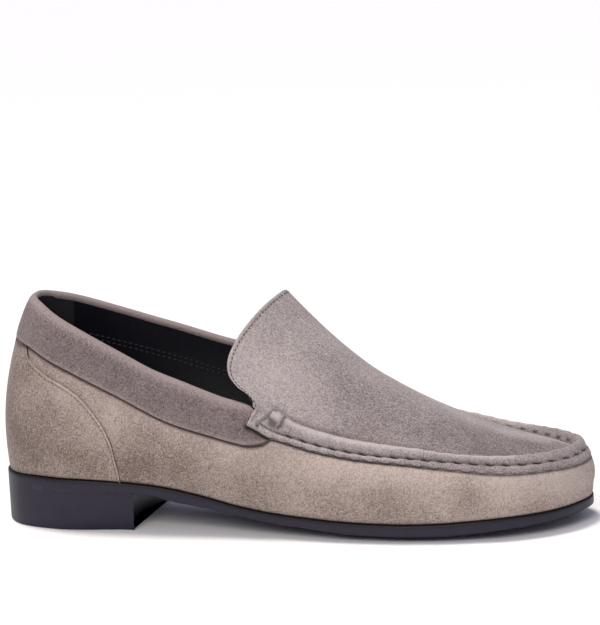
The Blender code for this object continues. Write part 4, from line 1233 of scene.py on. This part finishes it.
class LOAFER_OT_sole(bpy.types.Operator):
    """Black outsole with its inked edge, and the heel under it"""
    bl_idname = "loafer.sole"
    bl_label = "Sole and heel"

    def execute(self, context):
        radius = length_of(context.scene.loafer_sizes.sole_edge)
        s = np.linspace(-1.0, 1.0, SOLE_COLUMNS + 1)
        xy, normal = on_edge(s)
        top = sole_top(xy[:, 0])
        width = np.maximum(half_width(s), NARROW_HALF)
        on_heel = xy[:, 0] < HEEL_BREAST_OUTER + 1.0
        bend = np.linspace(0.0, np.pi / 2, ROUND_STEPS)
        rows = []

        def inset_edge(inset):
            return xy - np.broadcast_to(inset, top.shape)[:, None] * normal

        def add(inset, z):
            rows.append(np.column_stack((inset_edge(inset), z)))

        def low_z(inset):
            x = inset_edge(inset)[:, 0]
            edge = np.clip((1.0 - inset / width - FLAT_SHARE) / (1.0 - FLAT_SHARE), 0.0, 1.0)
            return sole_bottom(x) + table(SOLE, 3, x) * edge ** EDGE_POWER

        for inset in TOP_INSETS:
            add(inset, sole_top(inset_edge(inset)[:, 0]))
        for angle in bend:
            add(radius * (1 - np.sin(angle)), top - radius * (1 - np.cos(angle)))
        bottom = low_z(0.0)
        for share in SIDE_SHARES:
            add(0.0, top - radius + share * (bottom + radius - top + radius))
        low_radius = np.where(on_heel, SEAT_CLEARANCE, radius * LOW_ROUND)
        for angle in bend:
            add(low_radius * (1 - np.cos(angle)), bottom + low_radius * (1 - np.sin(angle)))
        for inset in LOW_INSETS:
            add(inset, low_z(inset))
        points = np.array(rows).transpose(1, 0, 2)
        # Painted shade in the groove under the upper, along the top of the sole's edge.
        below_top = np.abs(points[0, :, 2] - points[0, 0, 2])
        dark = np.tile(ease(*GROOVE_SHADE, below_top), (len(s), 1))
        sole = sheet("outsole_edge", points, {"crease": dark}, sideways)
        self.close(sole, points)
        dress(sole, finish_of("sole"))
        finish_piece(sole, "sole_black", "outsole", angle=50.0)
        self.heel(radius)
        return {"FINISHED"}

    def close(self, piece, points):
        """Fill the top and the bottom with rungs from side to side."""
        alone(piece)
        mesh = piece.data
        co = np.zeros(len(mesh.vertices) * 3)
        mesh.vertices.foreach_get("co", co)
        co = co.reshape(-1, 3)
        half = len(points) // 2
        rims = []
        for rim in (points[:, 0], points[:, -1]):
            nearest = [int(np.argmin(np.sum((co - p) ** 2, axis=1))) for p in (rim - SHIFT) * MM]
            rims.append(nearest)
        bpy.ops.object.mode_set(mode="EDIT")
        grid = bmesh.from_edit_mesh(mesh)
        grid.verts.ensure_lookup_table()
        for rim in rims:
            for k in range(half):
                corners = []
                for i in (half - k, half - k - 1, half + k + 1, half + k):
                    corner = grid.verts[rim[i]]
                    if corner not in corners:
                        corners.append(corner)
                if len(corners) > 2:
                    grid.faces.new(corners)
        bmesh.update_edit_mesh(mesh)
        bpy.ops.mesh.select_all(action="SELECT")
        bpy.ops.mesh.normals_make_consistent(inside=False)
        bpy.ops.object.mode_set(mode="OBJECT")

    def heel(self, radius):
        """Heel block: the sole's edge round the back, and a hollowed breast between its ends."""
        s = np.linspace(s_at(HEEL_BREAST_OUTER, -1), s_at(HEEL_BREAST_INNER, 1), HEEL_COLUMNS)
        back = on_edge(s)[0]
        across = np.linspace(1.0, -1.0, BREAST_COLUMNS)
        mix = ((across + 1) / 2)[:, None]
        breast = back[0] * (1 - mix) + back[-1] * mix
        breast[:, 0] -= HEEL_HOLLOW * (1 - across ** 2)
        plan = np.concatenate((back, breast[1:-1]))
        out = ring_normals(plan)
        seat = sole_bottom(plan[:, 0])
        rows = []
        for down in HEEL_SHARES:
            z = (seat - SEAT_CLEARANCE) * (1 - down) + radius * down
            rows.append(np.column_stack((plan - HEEL_TAPER * down * out, z)))
        for angle in np.linspace(0.0, np.pi / 2, ROUND_STEPS):
            inset = HEEL_TAPER + radius * (1 - np.cos(angle))
            z = np.full(len(plan), radius * (1 - np.sin(angle)))
            rows.append(np.column_stack((plan - inset * out, z)))
        points = np.array(rows).transpose(1, 0, 2)
        points = np.concatenate((points, points[:1]))
        heel = sheet("heel_block_edge", points, {}, from_heel)
        close_holes(heel)
        dress(heel, finish_of("sole"))
        finish_piece(heel, "sole_black", "heel_block", angle=40.0)


class LOAFER_OT_footbed(bpy.types.Operator):
    """Raised footbed under its black sock"""
    bl_idname = "loafer.footbed"
    bl_label = "Footbed"

    def execute(self, context):
        inside = length_of(context.scene.loafer_sizes.lining_wall) + FOOTBED_GAP
        k = np.linspace(0.0, 1.0, FOOTBED_COLUMNS)
        across = np.linspace(-1.0, 1.0, FOOTBED_ROWS)
        rims = []
        for side in (-1, 1):
            s = side * k
            level = footbed_top(foot_x(s))
            d = depth_at_height(s, level)
            rim = wall(s, d) - inside * wall_normal(s, d)
            rim[:, 2] = level
            rims.append(rim)
        mix = ((across + 1) / 2)[None, :, None]
        points = rims[0][:, None] * (1 - mix) + rims[1][:, None] * mix
        ends = ease(0.0, DISH_END, k) * ease(1.0, 1.0 - DISH_END, k)
        dish = FOOTBED_DISH * (1 - across ** 4)[None, :] * ends[:, None]
        hem = FOOTBED_HEM * hump(np.abs(across), 0.93, 0.02)[None, :]
        points[..., 2] = footbed_top(points[..., 0]) - dish - hem
        bed = sheet("footbed_sock", points, {"grip": np.zeros(points.shape[:2])}, upwards)
        thicken(bed, FOOTBED_WALL)
        dress(bed, finish_of("lining"))
        finish_piece(bed, "lining_black", "insole")
        return {"FINISHED"}


class LOAFER_OT_lining(bpy.types.Operator):
    """Black lining inside the collar and the toe, with its stitch rows"""
    bl_idname = "loafer.lining"
    bl_label = "Lining"

    def execute(self, context):
        inside = length_of(context.scene.loafer_sizes.lining_wall)
        s = np.linspace(-1.0, 1.0, LINING_COLUMNS)
        x = foot_x(s)
        start = LINING_TOP + LINING_DEEPER * ease(*LINING_DEEPENS, x)
        end = depth_at_height(s, footbed_top(x) - LINING_BELOW)
        rows = np.linspace(0.0, 1.0, LINING_ROWS)
        d = start[:, None] + (end - start)[:, None] * rows[None, :]
        place = np.repeat(s[:, None], len(rows), axis=1)
        grip = ease(*GRIP_FRONT, x)[:, None] * ease(*GRIP_TOP, d)
        points = wall(place, d) - wall_normal(place, d) * (inside + GRIP_RISE * grip)[..., None]
        made = sheet("lining", points, {"grip": grip}, inwards)
        thicken(made, LINING_THICK)
        dress(made, finish_of("lining"))
        finish_piece(made, "lining_black")
        self.rows_of_thread(inside)
        return {"FINISHED"}

    def rows_of_thread(self, inside):
        """Two close rows of stitches along each side of the collar."""
        starts, ends, normals = [], [], []
        for side in (-1, 1):
            for apart in (0.0, LINING_ROW_GAP):
                s = s_at(np.linspace(LINING_ROW[0][0], LINING_ROW[-1][0], 300), side)
                d = table(LINING_ROW, 1, foot_x(s)) + apart
                line = wall(s, d) - wall_normal(s, d) * (inside + LINING_LIFT)
                run = run_along(line)
                at = np.arange(LINING_BARE, run[-1] - LINING_STITCH, LINING_PITCH)
                middle = at + LINING_STITCH / 2
                starts.append(points_at(at, run, line))
                ends.append(points_at(at + LINING_STITCH, run, line))
                normals.append(-wall_normal(np.interp(middle, run, s), np.interp(middle, run, d)))
        starts, ends, normals = (np.concatenate(v) for v in (starts, ends, normals))
        sew("lining_stitches", starts, ends, normals, radius=0.32, arch=0.1,
            thread="black_thread", slot="lining_black")


class LOAFER_OT_wall(bpy.types.Operator):
    """Warm suede wall round the foot, from the seam and the cuff down to the sole"""
    bl_idname = "loafer.wall"
    bl_label = "Wall"

    def execute(self, context):
        s = np.linspace(-1.0, 1.0, WALL_COLUMNS)
        x = foot_x(s)
        cuffed = x < CUFF_FRONT
        cuff = np.where(cuffed, cuff_width(np.where(cuffed, s, s_at(CUFF_FRONT, -1))), 0.0)
        edge = np.maximum(cuff, seam_line(s, SEAM_EDGE) * ease(*SEAM_BEGINS, x))
        start = edge - WALL_TUCK - WALL_TUCK_CUFF * ease(*TUCK_ZONE, x)
        length = wall_length(s)
        share = np.linspace(0.0, 1.0, WALL_ROWS) ** WALL_ROW_POWER
        d = start[:, None] + (length - start)[:, None] * share[None, :]
        points = wall(np.repeat(s[:, None], len(share), axis=1), d)
        flare = FLARE + FLARE_TOE * ease(*FLARE_ZONE, x)[:, None]
        foot = ease(FLARE_HEIGHT, 0.0, length[:, None] - d) * flare
        full = TOE_BULGE * hump(share, 0.45, 0.3)[None, :] * ease(*BULGE_ZONE, x)[:, None]
        points[..., :2] += (foot + full - dented(points, WALL_DENTS))[..., None] * on_edge(s)[1][:, None]
        # Painted shade on the wall: a dark line just under the overhanging lower edge of the cuff and of the
        # seam, paler round the forefoot, and another along the sole.
        at_cuff = ease(*CUFF_SHADOW_ZONE, x)
        line, reach = edge + 0.4 + 0.6 * at_cuff, 0.8 + 0.4 * at_cuff
        deep = 1.0 - 0.2 * ease(*PALER_SHADE_ZONE, x)
        dark = np.maximum(deep[:, None] * hump(d, line[:, None], reach[:, None]),
                          SOLE_SHADE * hump(d, length[:, None], SOLE_SHADE_WIDTH))
        made = sheet("wall", points, {"crease": dark, "lie": nap_and_light(points, WALL_SPOTS)}, sideways)
        dress(made, finish_of("wall"), finish_of("lining"))
        thicken(made, WALL_THICK, inner_material=1)
        finish_piece(made, "suede_wall", "upper")
        return {"FINISHED"}


class LOAFER_OT_counter(bpy.types.Operator):
    """Suede panel round the back of the heel, with a folded and stitched edge"""
    bl_idname = "loafer.counter"
    bl_label = "Heel counter"

    def skin(self, count, depths):
        """Panel from its edge down to the sole: places, depths and distances from the edge."""
        foot = column(COUNTER_EDGE, 0)
        height = column(COUNTER_EDGE, 1)
        run = run_along(np.column_stack((foot, height)))
        t = np.linspace(0.0, run[-1], count)
        edge_x, edge_z = smooth(run, foot, t), smooth(run, height, t)
        s_edge, d_edge, s_low = [], [], []
        for side in (-1, 1):
            s = s_at(edge_x, side)
            order = slice(None) if side < 0 else slice(-2, None, -1)
            s_edge.append(s[order])
            d_edge.append(depth_at_height(s, edge_z)[order])
            s_low.append((s_at(foot[0], side) * (1 - t / run[-1]))[order])
        s_edge, d_edge, s_low = (np.concatenate(v) for v in (s_edge, d_edge, s_low))
        d_low = wall_length(s_low) - COUNTER_FOOT
        length = np.linalg.norm(wall(s_low, d_low) - wall(s_edge, d_edge), axis=-1)
        mix = np.clip(depths[None, :] / np.maximum(length, 0.01)[:, None], 0.0, 1.0)
        rest = np.linspace(0.0, 1.0, COUNTER_LOW_ROWS)[None, 1:]
        mix = np.concatenate((mix, mix[:, -1:] + (1 - mix[:, -1:]) * rest), axis=1)
        s = s_edge[:, None] * (1 - mix) + s_low[:, None] * mix
        d = d_edge[:, None] * (1 - mix) + d_low[:, None] * mix
        return s, d, mix * length[:, None]

    def execute(self, context):
        thick = length_of(context.scene.loafer_sizes.counter_edge)
        s, d, margin = self.skin(COUNTER_COLUMNS, np.array(COUNTER_ROWS))
        out = wall_normal(s, d)
        roll = np.sqrt(1 - (1 - np.clip(margin / COUNTER_ROUND, 0.0, 1.0)) ** 2)
        lift = COUNTER_LOW + (thick - COUNTER_LOW) * roll
        lift = lift - 0.25 * hump(margin, COUNTER_MARGIN, 0.45) - 0.25 * ease(*COUNTER_THINS, margin)
        band = cuff_width(s.ravel()).reshape(s.shape)
        covered = ease(*CUFF_COVERS, d - band)
        lift = lift * (1 - covered) + COUNTER_LOW * covered
        points = wall(s, d) + out * lift[..., None]
        full = HEEL_BULGE * hump(points[..., 2], *HEEL_BULGE_HEIGHT) * ease(*HEEL_BULGE_FOOT, foot_x(s))
        points = points + (full * ease(2.0, 10.0, margin))[..., None] * out
        # Painted shade along the folded edge, along its stitch row, along the sole and under the cuff's lower
        # edge; a painted highlight along the fold.
        height = points[..., 2]
        line = 0.18 + 0.82 * ease(*EDGE_SHADE_TOP, height) + 0.6 * ease(*EDGE_SHADE_FOOT, height)
        to_sole = wall_length(s.ravel()).reshape(s.shape) - d
        dark = np.maximum.reduce((
            0.2 * hump(margin, COUNTER_MARGIN, 0.4), line * hump(margin, 0.0, 0.35),
            SOLE_SHADE * hump(to_sole, 0.0, SOLE_SHADE_WIDTH), hump(d, band + 1.0, 1.2)))
        lie = nap_and_light(points, COUNTER_SPOTS) + 0.3 * hump(margin, 0.75, 0.4)
        made = sheet("heel_counter_panel", points, {"crease": dark, "lie": lie}, sideways)
        thicken(made, COUNTER_THICK)
        dress(made, finish_of("wall"))
        finish_piece(made, "suede_wall", "heel_counter")
        self.row_of_thread(thick)
        return {"FINISHED"}

    def row_of_thread(self, thick):
        """Stitches along the panel's folded edge, as far up as the cuff."""
        s, d, _ = self.skin(400, np.array((0.0, COUNTER_MARGIN)))
        line_s, line_d = s[:, 1], d[:, 1]
        line = wall(line_s, line_d) + wall_normal(line_s, line_d) * (thick - COUNTER_SINK)
        run = run_along(line)
        at = np.arange(COUNTER_BARE[0], run[-1] - COUNTER_BARE[1], COUNTER_PITCH)
        at = at[np.interp(at, run, line_d - cuff_width(line_s)) > COUNTER_CLEAR]
        starts, ends = points_at(at, run, line), points_at(at + COUNTER_STITCH, run, line)
        normals = wall_normal(np.interp(at, run, line_s), np.interp(at, run, line_d))
        sew("counter_stitches", starts, ends, normals, radius=0.24, arch=0.05,
            thread="counter_thread", slot="suede_wall")


class LOAFER_OT_cuff(bpy.types.Operator):
    """Padded band of darker suede folded over the collar's rim"""
    bl_idname = "loafer.cuff"
    bl_label = "Collar cuff"

    def execute(self, context):
        s = np.linspace(s_at(CUFF_END, -1), s_at(CUFF_END, 1), CUFF_COLUMNS)
        x = foot_x(s)
        width = cuff_width(s)
        tuck = CUFF_TUCK * ease(*CUFF_TUCK_ZONE, x)
        flat = (1.0 - 0.66 * ease(*CUFF_FLAT_FRONT, x)) * (1.0 - 0.3 * ease(*CUFF_FLAT_BACK, x))
        share, extra, offset = (column(CUFF_SECTION, i) for i in range(3))
        loop = np.column_stack((share * CUFF_TYPICAL + extra, offset))
        ts = run_along(loop)
        period = ts[-1] + np.linalg.norm(loop[0] - loop[-1])
        t = np.linspace(0.0, period, CUFF_ROUND)
        blend = ring_curve(ts, np.eye(len(loop)), period, t)
        depth = np.maximum((share[None, :] * width[:, None] + extra[None, :]) @ blend.T, 0.02)
        depth = tuck[:, None] + depth * ((width - tuck) / width)[:, None]
        off = (offset @ blend.T)[None, :] * flat[:, None]
        place = np.repeat(s[:, None], len(t), axis=1)
        points = wall(place, depth) + wall_normal(place, depth) * off[..., None]
        # Painted shade along the band's lower edge and under the seam's flat end; painted highlights along
        # the rim and along the lower lip, and the band's middle a little darker.
        above_edge = width[:, None] - depth
        under_seam_shadow = hump(depth, seam_line(s, SEAM_EDGE)[:, None] + 0.4, 1.5)
        under_seam_shadow = under_seam_shadow * ease(*CUFF_SHADED, x)[:, None] * (off > 0.0)
        dark = np.maximum(0.75 * hump(above_edge, -0.1, 0.35) * (off < 0.9), under_seam_shadow)
        outside = (off > 0.3) * 1.0
        lip_highlight, band_middle = hump(above_edge, 0.7, 0.9), hump(above_edge, 10.0, 9.0)
        lie = 0.7 * hump(depth, 1.2, 2.8) + outside * (0.5 * lip_highlight - 0.12 * band_middle)
        made = sheet("collar_cuff_band", points, {"crease": dark, "lie": lie}, sideways)
        close_holes(made)
        dress(made, finish_of("cuff"))
        finish_piece(made, "suede_dark", "collar_cuff", angle=80.0)
        return {"FINISHED"}


class LOAFER_OT_apron(bpy.types.Operator):
    """Grey suede apron and tongue with its edge turned and stitched"""
    bl_idname = "loafer.apron"
    bl_label = "Apron and tongue"

    def execute(self, context):
        sizes = context.scene.loafer_sizes
        margin = length_of(sizes.tongue_margin)
        s, w = self.grid()
        points = apron(s[:, None], w[None, :])
        out = grid_normals(points)
        out = np.where(out[..., 2:] < 0, -out, out)
        tongue_edge = np.where(np.arange(len(s)) < (len(s) + 1) // 2, 0, len(s) - 1)
        gap = np.linalg.norm(points - points[tongue_edge], axis=-1)
        turn_in = 1.0 - np.sqrt(1 - (1 - np.clip(gap / TONGUE_ROUND, 0.0, 1.0)) ** 2)
        lift = -0.9 * turn_in - 0.22 * hump(gap, margin, 0.55)
        from_seam = np.linalg.norm(points - points[:, :1], axis=-1)
        # Painted shade along the tongue's stitch row and in the groove beside the seam, stronger towards the
        # throat.
        groove = (0.2 + 0.2 * ease(*GROOVE_SHADE_GROWS, foot_x(s)))[:, None]
        groove = groove * hump(from_seam, 0.8 - seam_line(s, SEAM_START)[:, None], 1.5)
        dark = np.maximum(0.25 * hump(gap, margin, 0.4), groove * ease(14.0, 30.0, gap))
        # Painted highlights along the middle ridge, wider and stronger round the toe and on the inner side,
        # and along the tongue's turned edge.
        toe = ease(0.9, 0.98, np.abs(s))[:, None]
        far = 0.3 * (s > 0.0)[:, None]
        ridge_highlight = ease(0.45 - 0.25 * toe - far, 1.0 - 0.4 * toe - far, w[None, :]) * ease(10.0, 45.0, gap)
        ridge_highlight = ridge_highlight * (1 + 0.45 * toe + far)
        lie = nap_and_light(points, APRON_SPOTS) + 0.06 * hump(gap, 0.4, 0.9) + 0.4 * ridge_highlight
        made = sheet("apron", points + out * lift[..., None], {"crease": dark, "lie": lie}, upwards)
        dress(made, finish_of("apron"), finish_of("lining"))
        thicken(made, APRON_THICK, inner_material=1)
        finish_piece(made, "suede_wall")
        self.row_of_thread(margin, length_of(sizes.tongue_pitch))
        return {"FINISHED"}

    def grid(self):
        """Places of the columns, closer together along the tongue's edge, and shares across."""
        tongue = np.linspace(0.0, TONGUE_BAND, TONGUE_COLUMNS)
        share = np.concatenate((tongue, np.linspace(TONGUE_BAND, 1.0, APRON_COLUMNS)[1:]))
        s = np.concatenate((place_at_share(share, -1), place_at_share(share[::-1][1:], 1)))
        return s, np.linspace(0.0, 1.0, APRON_ROWS)

    def row_of_thread(self, margin, pitch):
        """Stitches at an even distance from the tongue's edge, from notch to notch."""
        share = np.linspace(0.0, TONGUE_REACH, 200)
        across = np.linspace(*TONGUE_ROW, 160)
        line, normals = [], []
        for side, shares in ((-1, across), (1, across[::-1][1:])):
            for w in shares:
                run = run_along(apron(place_at_share(share, side), np.full(len(share), w)))
                at = np.interp(margin, run, share)
                here, ahead, beside = (
                    apron(place_at_share(np.array([at + a]), side), np.array([w + b]))[0]
                    for a, b in ((0.0, 0.0), (0.004, 0.0), (0.0, -0.01)))
                n = np.cross(ahead - here, beside - here)
                n = n / np.linalg.norm(n)
                normals.append(-n if n[2] < 0 else n)
                line.append(here - TONGUE_SINK * normals[-1])
        line, normals = np.array(line), np.array(normals)
        run = run_along(line)
        at = np.arange(TONGUE_BARE[0], run[-1] - TONGUE_BARE[1], pitch)
        starts, ends = points_at(at, run, line), points_at(at + 0.5 * pitch, run, line)
        sew("tongue_stitches", starts, ends, points_at(at, run, normals), radius=0.25, arch=0.06,
            thread="dark_thread", slot="suede_wall")


class LOAFER_OT_seam(bpy.types.Operator):
    """Moccasin seam: two rolls of grey suede drawn together by thick stitches"""
    bl_idname = "loafer.seam"
    bl_label = "Moccasin seam"

    def execute(self, context):
        s, run = front_path(SEAM_FOOT, SEAM_STEP)
        points, _, dark, worn = seam_skin(s, run, np.array(SEAM_SHARES))
        made = sheet("moccasin_seam", points, {"crease": dark, "lie": worn}, sideways)
        thicken(made, SEAM_THICK)
        dress(made, finish_of("apron"))
        finish_piece(made, "suede_wall", angle=80.0)
        self.threads(s, run, context.scene.loafer_sizes)
        return {"FINISHED"}

    def threads(self, s, run, sizes):
        """One stitch from each hole to the next, sunk between the rolls."""
        pitch, thick = length_of(sizes.stitch_pitch), length_of(sizes.seam_thread)
        above, row, below = 0.94, 1.0, 1.06
        skin, out, _, _ = seam_skin(s, run, np.array((above, row, below)))
        first = math.ceil(FIRST_STITCH / pitch)
        last = math.floor((run[-1] - FIRST_STITCH) / pitch)
        holes = np.arange(first, last)
        begin, end = ((holes + part) * pitch + STITCH_SHIFT for part in THREAD_PARTS)
        starts, ends = points_at(begin, run, skin[:, 2]), points_at(end, run, skin[:, 0])
        normals = points_at((begin + end) / 2, run, out[:, 1])
        sew("seam_stitches", starts, ends, normals, radius=thick / 2, arch=0.2,
            thread="seam_thread", slot="suede_wall")


class LOAFER_OT_throat(bpy.types.Operator):
    """Thick bar stitches that hold the seam's flat ends to the tongue"""
    bl_idname = "loafer.throat"
    bl_label = "Throat stitches"

    def execute(self, context):
        thick = length_of(context.scene.loafer_sizes.bar_thread)
        starts, ends, normals = [], [], []
        for side in (-1, 1):
            low, high = (np.array([s_at(x, side)]) for x in (BAR_LOW[0], BAR_HIGH[0]))
            out = wall_normal(low, BAR_LOW[1])[0]
            starts.append(wall(low, BAR_LOW[1])[0] + out * BAR_LIFT_LOW)
            ends.append(apron(high, across_at(high, -BAR_HIGH[1]))[0] + out * BAR_LIFT_HIGH)
            normals.append(out)
        sew("bar_stitches", starts, ends, normals, radius=thick / 2, arch=BAR_ARCH,
            thread="bar_thread", slot="suede_wall")
        return {"FINISHED"}


class LOAFER_OT_stage(bpy.types.Operator):
    """Pale floor, soft studio light and the camera at the photograph's angle"""
    bl_idname = "loafer.stage"
    bl_label = "Stage"

    def execute(self, context):
        scene = context.scene
        scene.view_settings.view_transform = "Standard"
        self.floor()
        world = bpy.data.worlds.new("Studio")
        scene.world = world
        world.use_nodes = True
        sky = world.node_tree.nodes["Background"]
        sky.inputs["Color"].default_value = SKY_COLOUR
        sky.inputs["Strength"].default_value = SKY_STRENGTH
        for kind, name, place, width, power in LAMPS:
            bpy.ops.object.light_add(type=kind, location=place)
            lamp = context.object
            lamp.name = name
            lamp.data.energy = power
            lamp.data.color = linear(LAMP_COLOUR)
            if kind == "SUN":
                lamp.data.angle = width
            else:
                lamp.data.size = width
            lamp.rotation_mode = "QUATERNION"
            lamp.rotation_quaternion = Vector(place).to_track_quat("Z", "Y")
        self.camera(scene)
        return {"FINISHED"}

    def floor(self):
        """White studio paper: a matt coated sheet, plain and pale."""
        bpy.ops.object.select_all(action="DESELECT")
        bpy.ops.mesh.primitive_plane_add(size=FLOOR_SIZE, location=(0.0, 0.0, 0.0))
        floor = bpy.context.object
        floor.name = "floor"
        paper, _, shader, _ = new_material("White studio paper")
        shader.inputs["Base Color"].default_value = (*linear(PAPER_COLOUR), 1.0)
        shader.inputs["Roughness"].default_value = 0.9
        dress(floor, paper)

    def camera(self, scene):
        """Camera turned, raised and rolled about its target, which falls on its own pixel."""
        a, e, r = CAMERA_TURN, CAMERA_RISE, CAMERA_ROLL
        back = np.array((math.sin(a) * math.cos(e), -math.cos(a) * math.cos(e), math.sin(e)))
        level = np.array((math.cos(a), math.sin(a), 0.0))
        above = np.cross(back, level)
        right = math.cos(r) * level - math.sin(r) * above
        up = math.sin(r) * level + math.cos(r) * above
        place = (CAMERA_TARGET + CAMERA_DISTANCE * back - SHIFT) * MM
        aim = (-back * FOCAL_PIXELS + right * (PICTURE[0] / 2 - TARGET_PIXEL[0])
               + up * (TARGET_PIXEL[1] - PICTURE[1] / 2))
        back = -aim / np.linalg.norm(aim)
        right = right - back * np.dot(right, back)
        right /= np.linalg.norm(right)
        up = np.cross(back, right)
        bpy.ops.object.camera_add()
        camera = bpy.context.object
        camera.name = "camera"
        camera.data.sensor_width = SENSOR
        camera.data.lens = FOCAL_PIXELS * SENSOR / max(PICTURE)
        turned = Matrix(np.column_stack((right, up, back)).tolist()).to_4x4()
        camera.matrix_world = Matrix.Translation(Vector(place)) @ turned
        scene.camera = camera


class LOAFER_PT_panel(bpy.types.Panel):
    """Lists the loafer's pieces, sizes and colours"""
    bl_idname = "LOAFER_PT_panel"
    bl_label = "Elevator Loafer"
    bl_space_type = "VIEW_3D"
    bl_region_type = "UI"
    bl_category = "Loafer"

    def draw(self, context):
        for made in PIECES:
            self.layout.operator(made.bl_idname)
        for group in (context.scene.loafer_sizes, context.scene.loafer_colours):
            box = self.layout.box()
            for key in group.__annotations__:
                box.prop(group, key)


PIECES = (LOAFER_OT_stage, LOAFER_OT_sole, LOAFER_OT_footbed, LOAFER_OT_lining, LOAFER_OT_wall,
          LOAFER_OT_counter, LOAFER_OT_cuff, LOAFER_OT_apron, LOAFER_OT_seam, LOAFER_OT_throat)
CLASSES = (LoaferSizes, LoaferColours, *PIECES, LOAFER_PT_panel)


def register():
    for made in CLASSES:
        bpy.utils.register_class(made)
    bpy.types.Scene.loafer_sizes = bpy.props.PointerProperty(type=LoaferSizes)
    bpy.types.Scene.loafer_colours = bpy.props.PointerProperty(type=LoaferColours)


def unregister():
    del bpy.types.Scene.loafer_colours
    del bpy.types.Scene.loafer_sizes
    for made in reversed(CLASSES):
        bpy.utils.unregister_class(made)


def main():
    register()
    bpy.ops.loafer.stage()
    bpy.ops.loafer.sole()
    bpy.ops.loafer.footbed()
    bpy.ops.loafer.lining()
    bpy.ops.loafer.wall()
    bpy.ops.loafer.counter()
    bpy.ops.loafer.cuff()
    bpy.ops.loafer.apron()
    bpy.ops.loafer.seam()
    bpy.ops.loafer.throat()


if __name__ == "__main__":
    main()
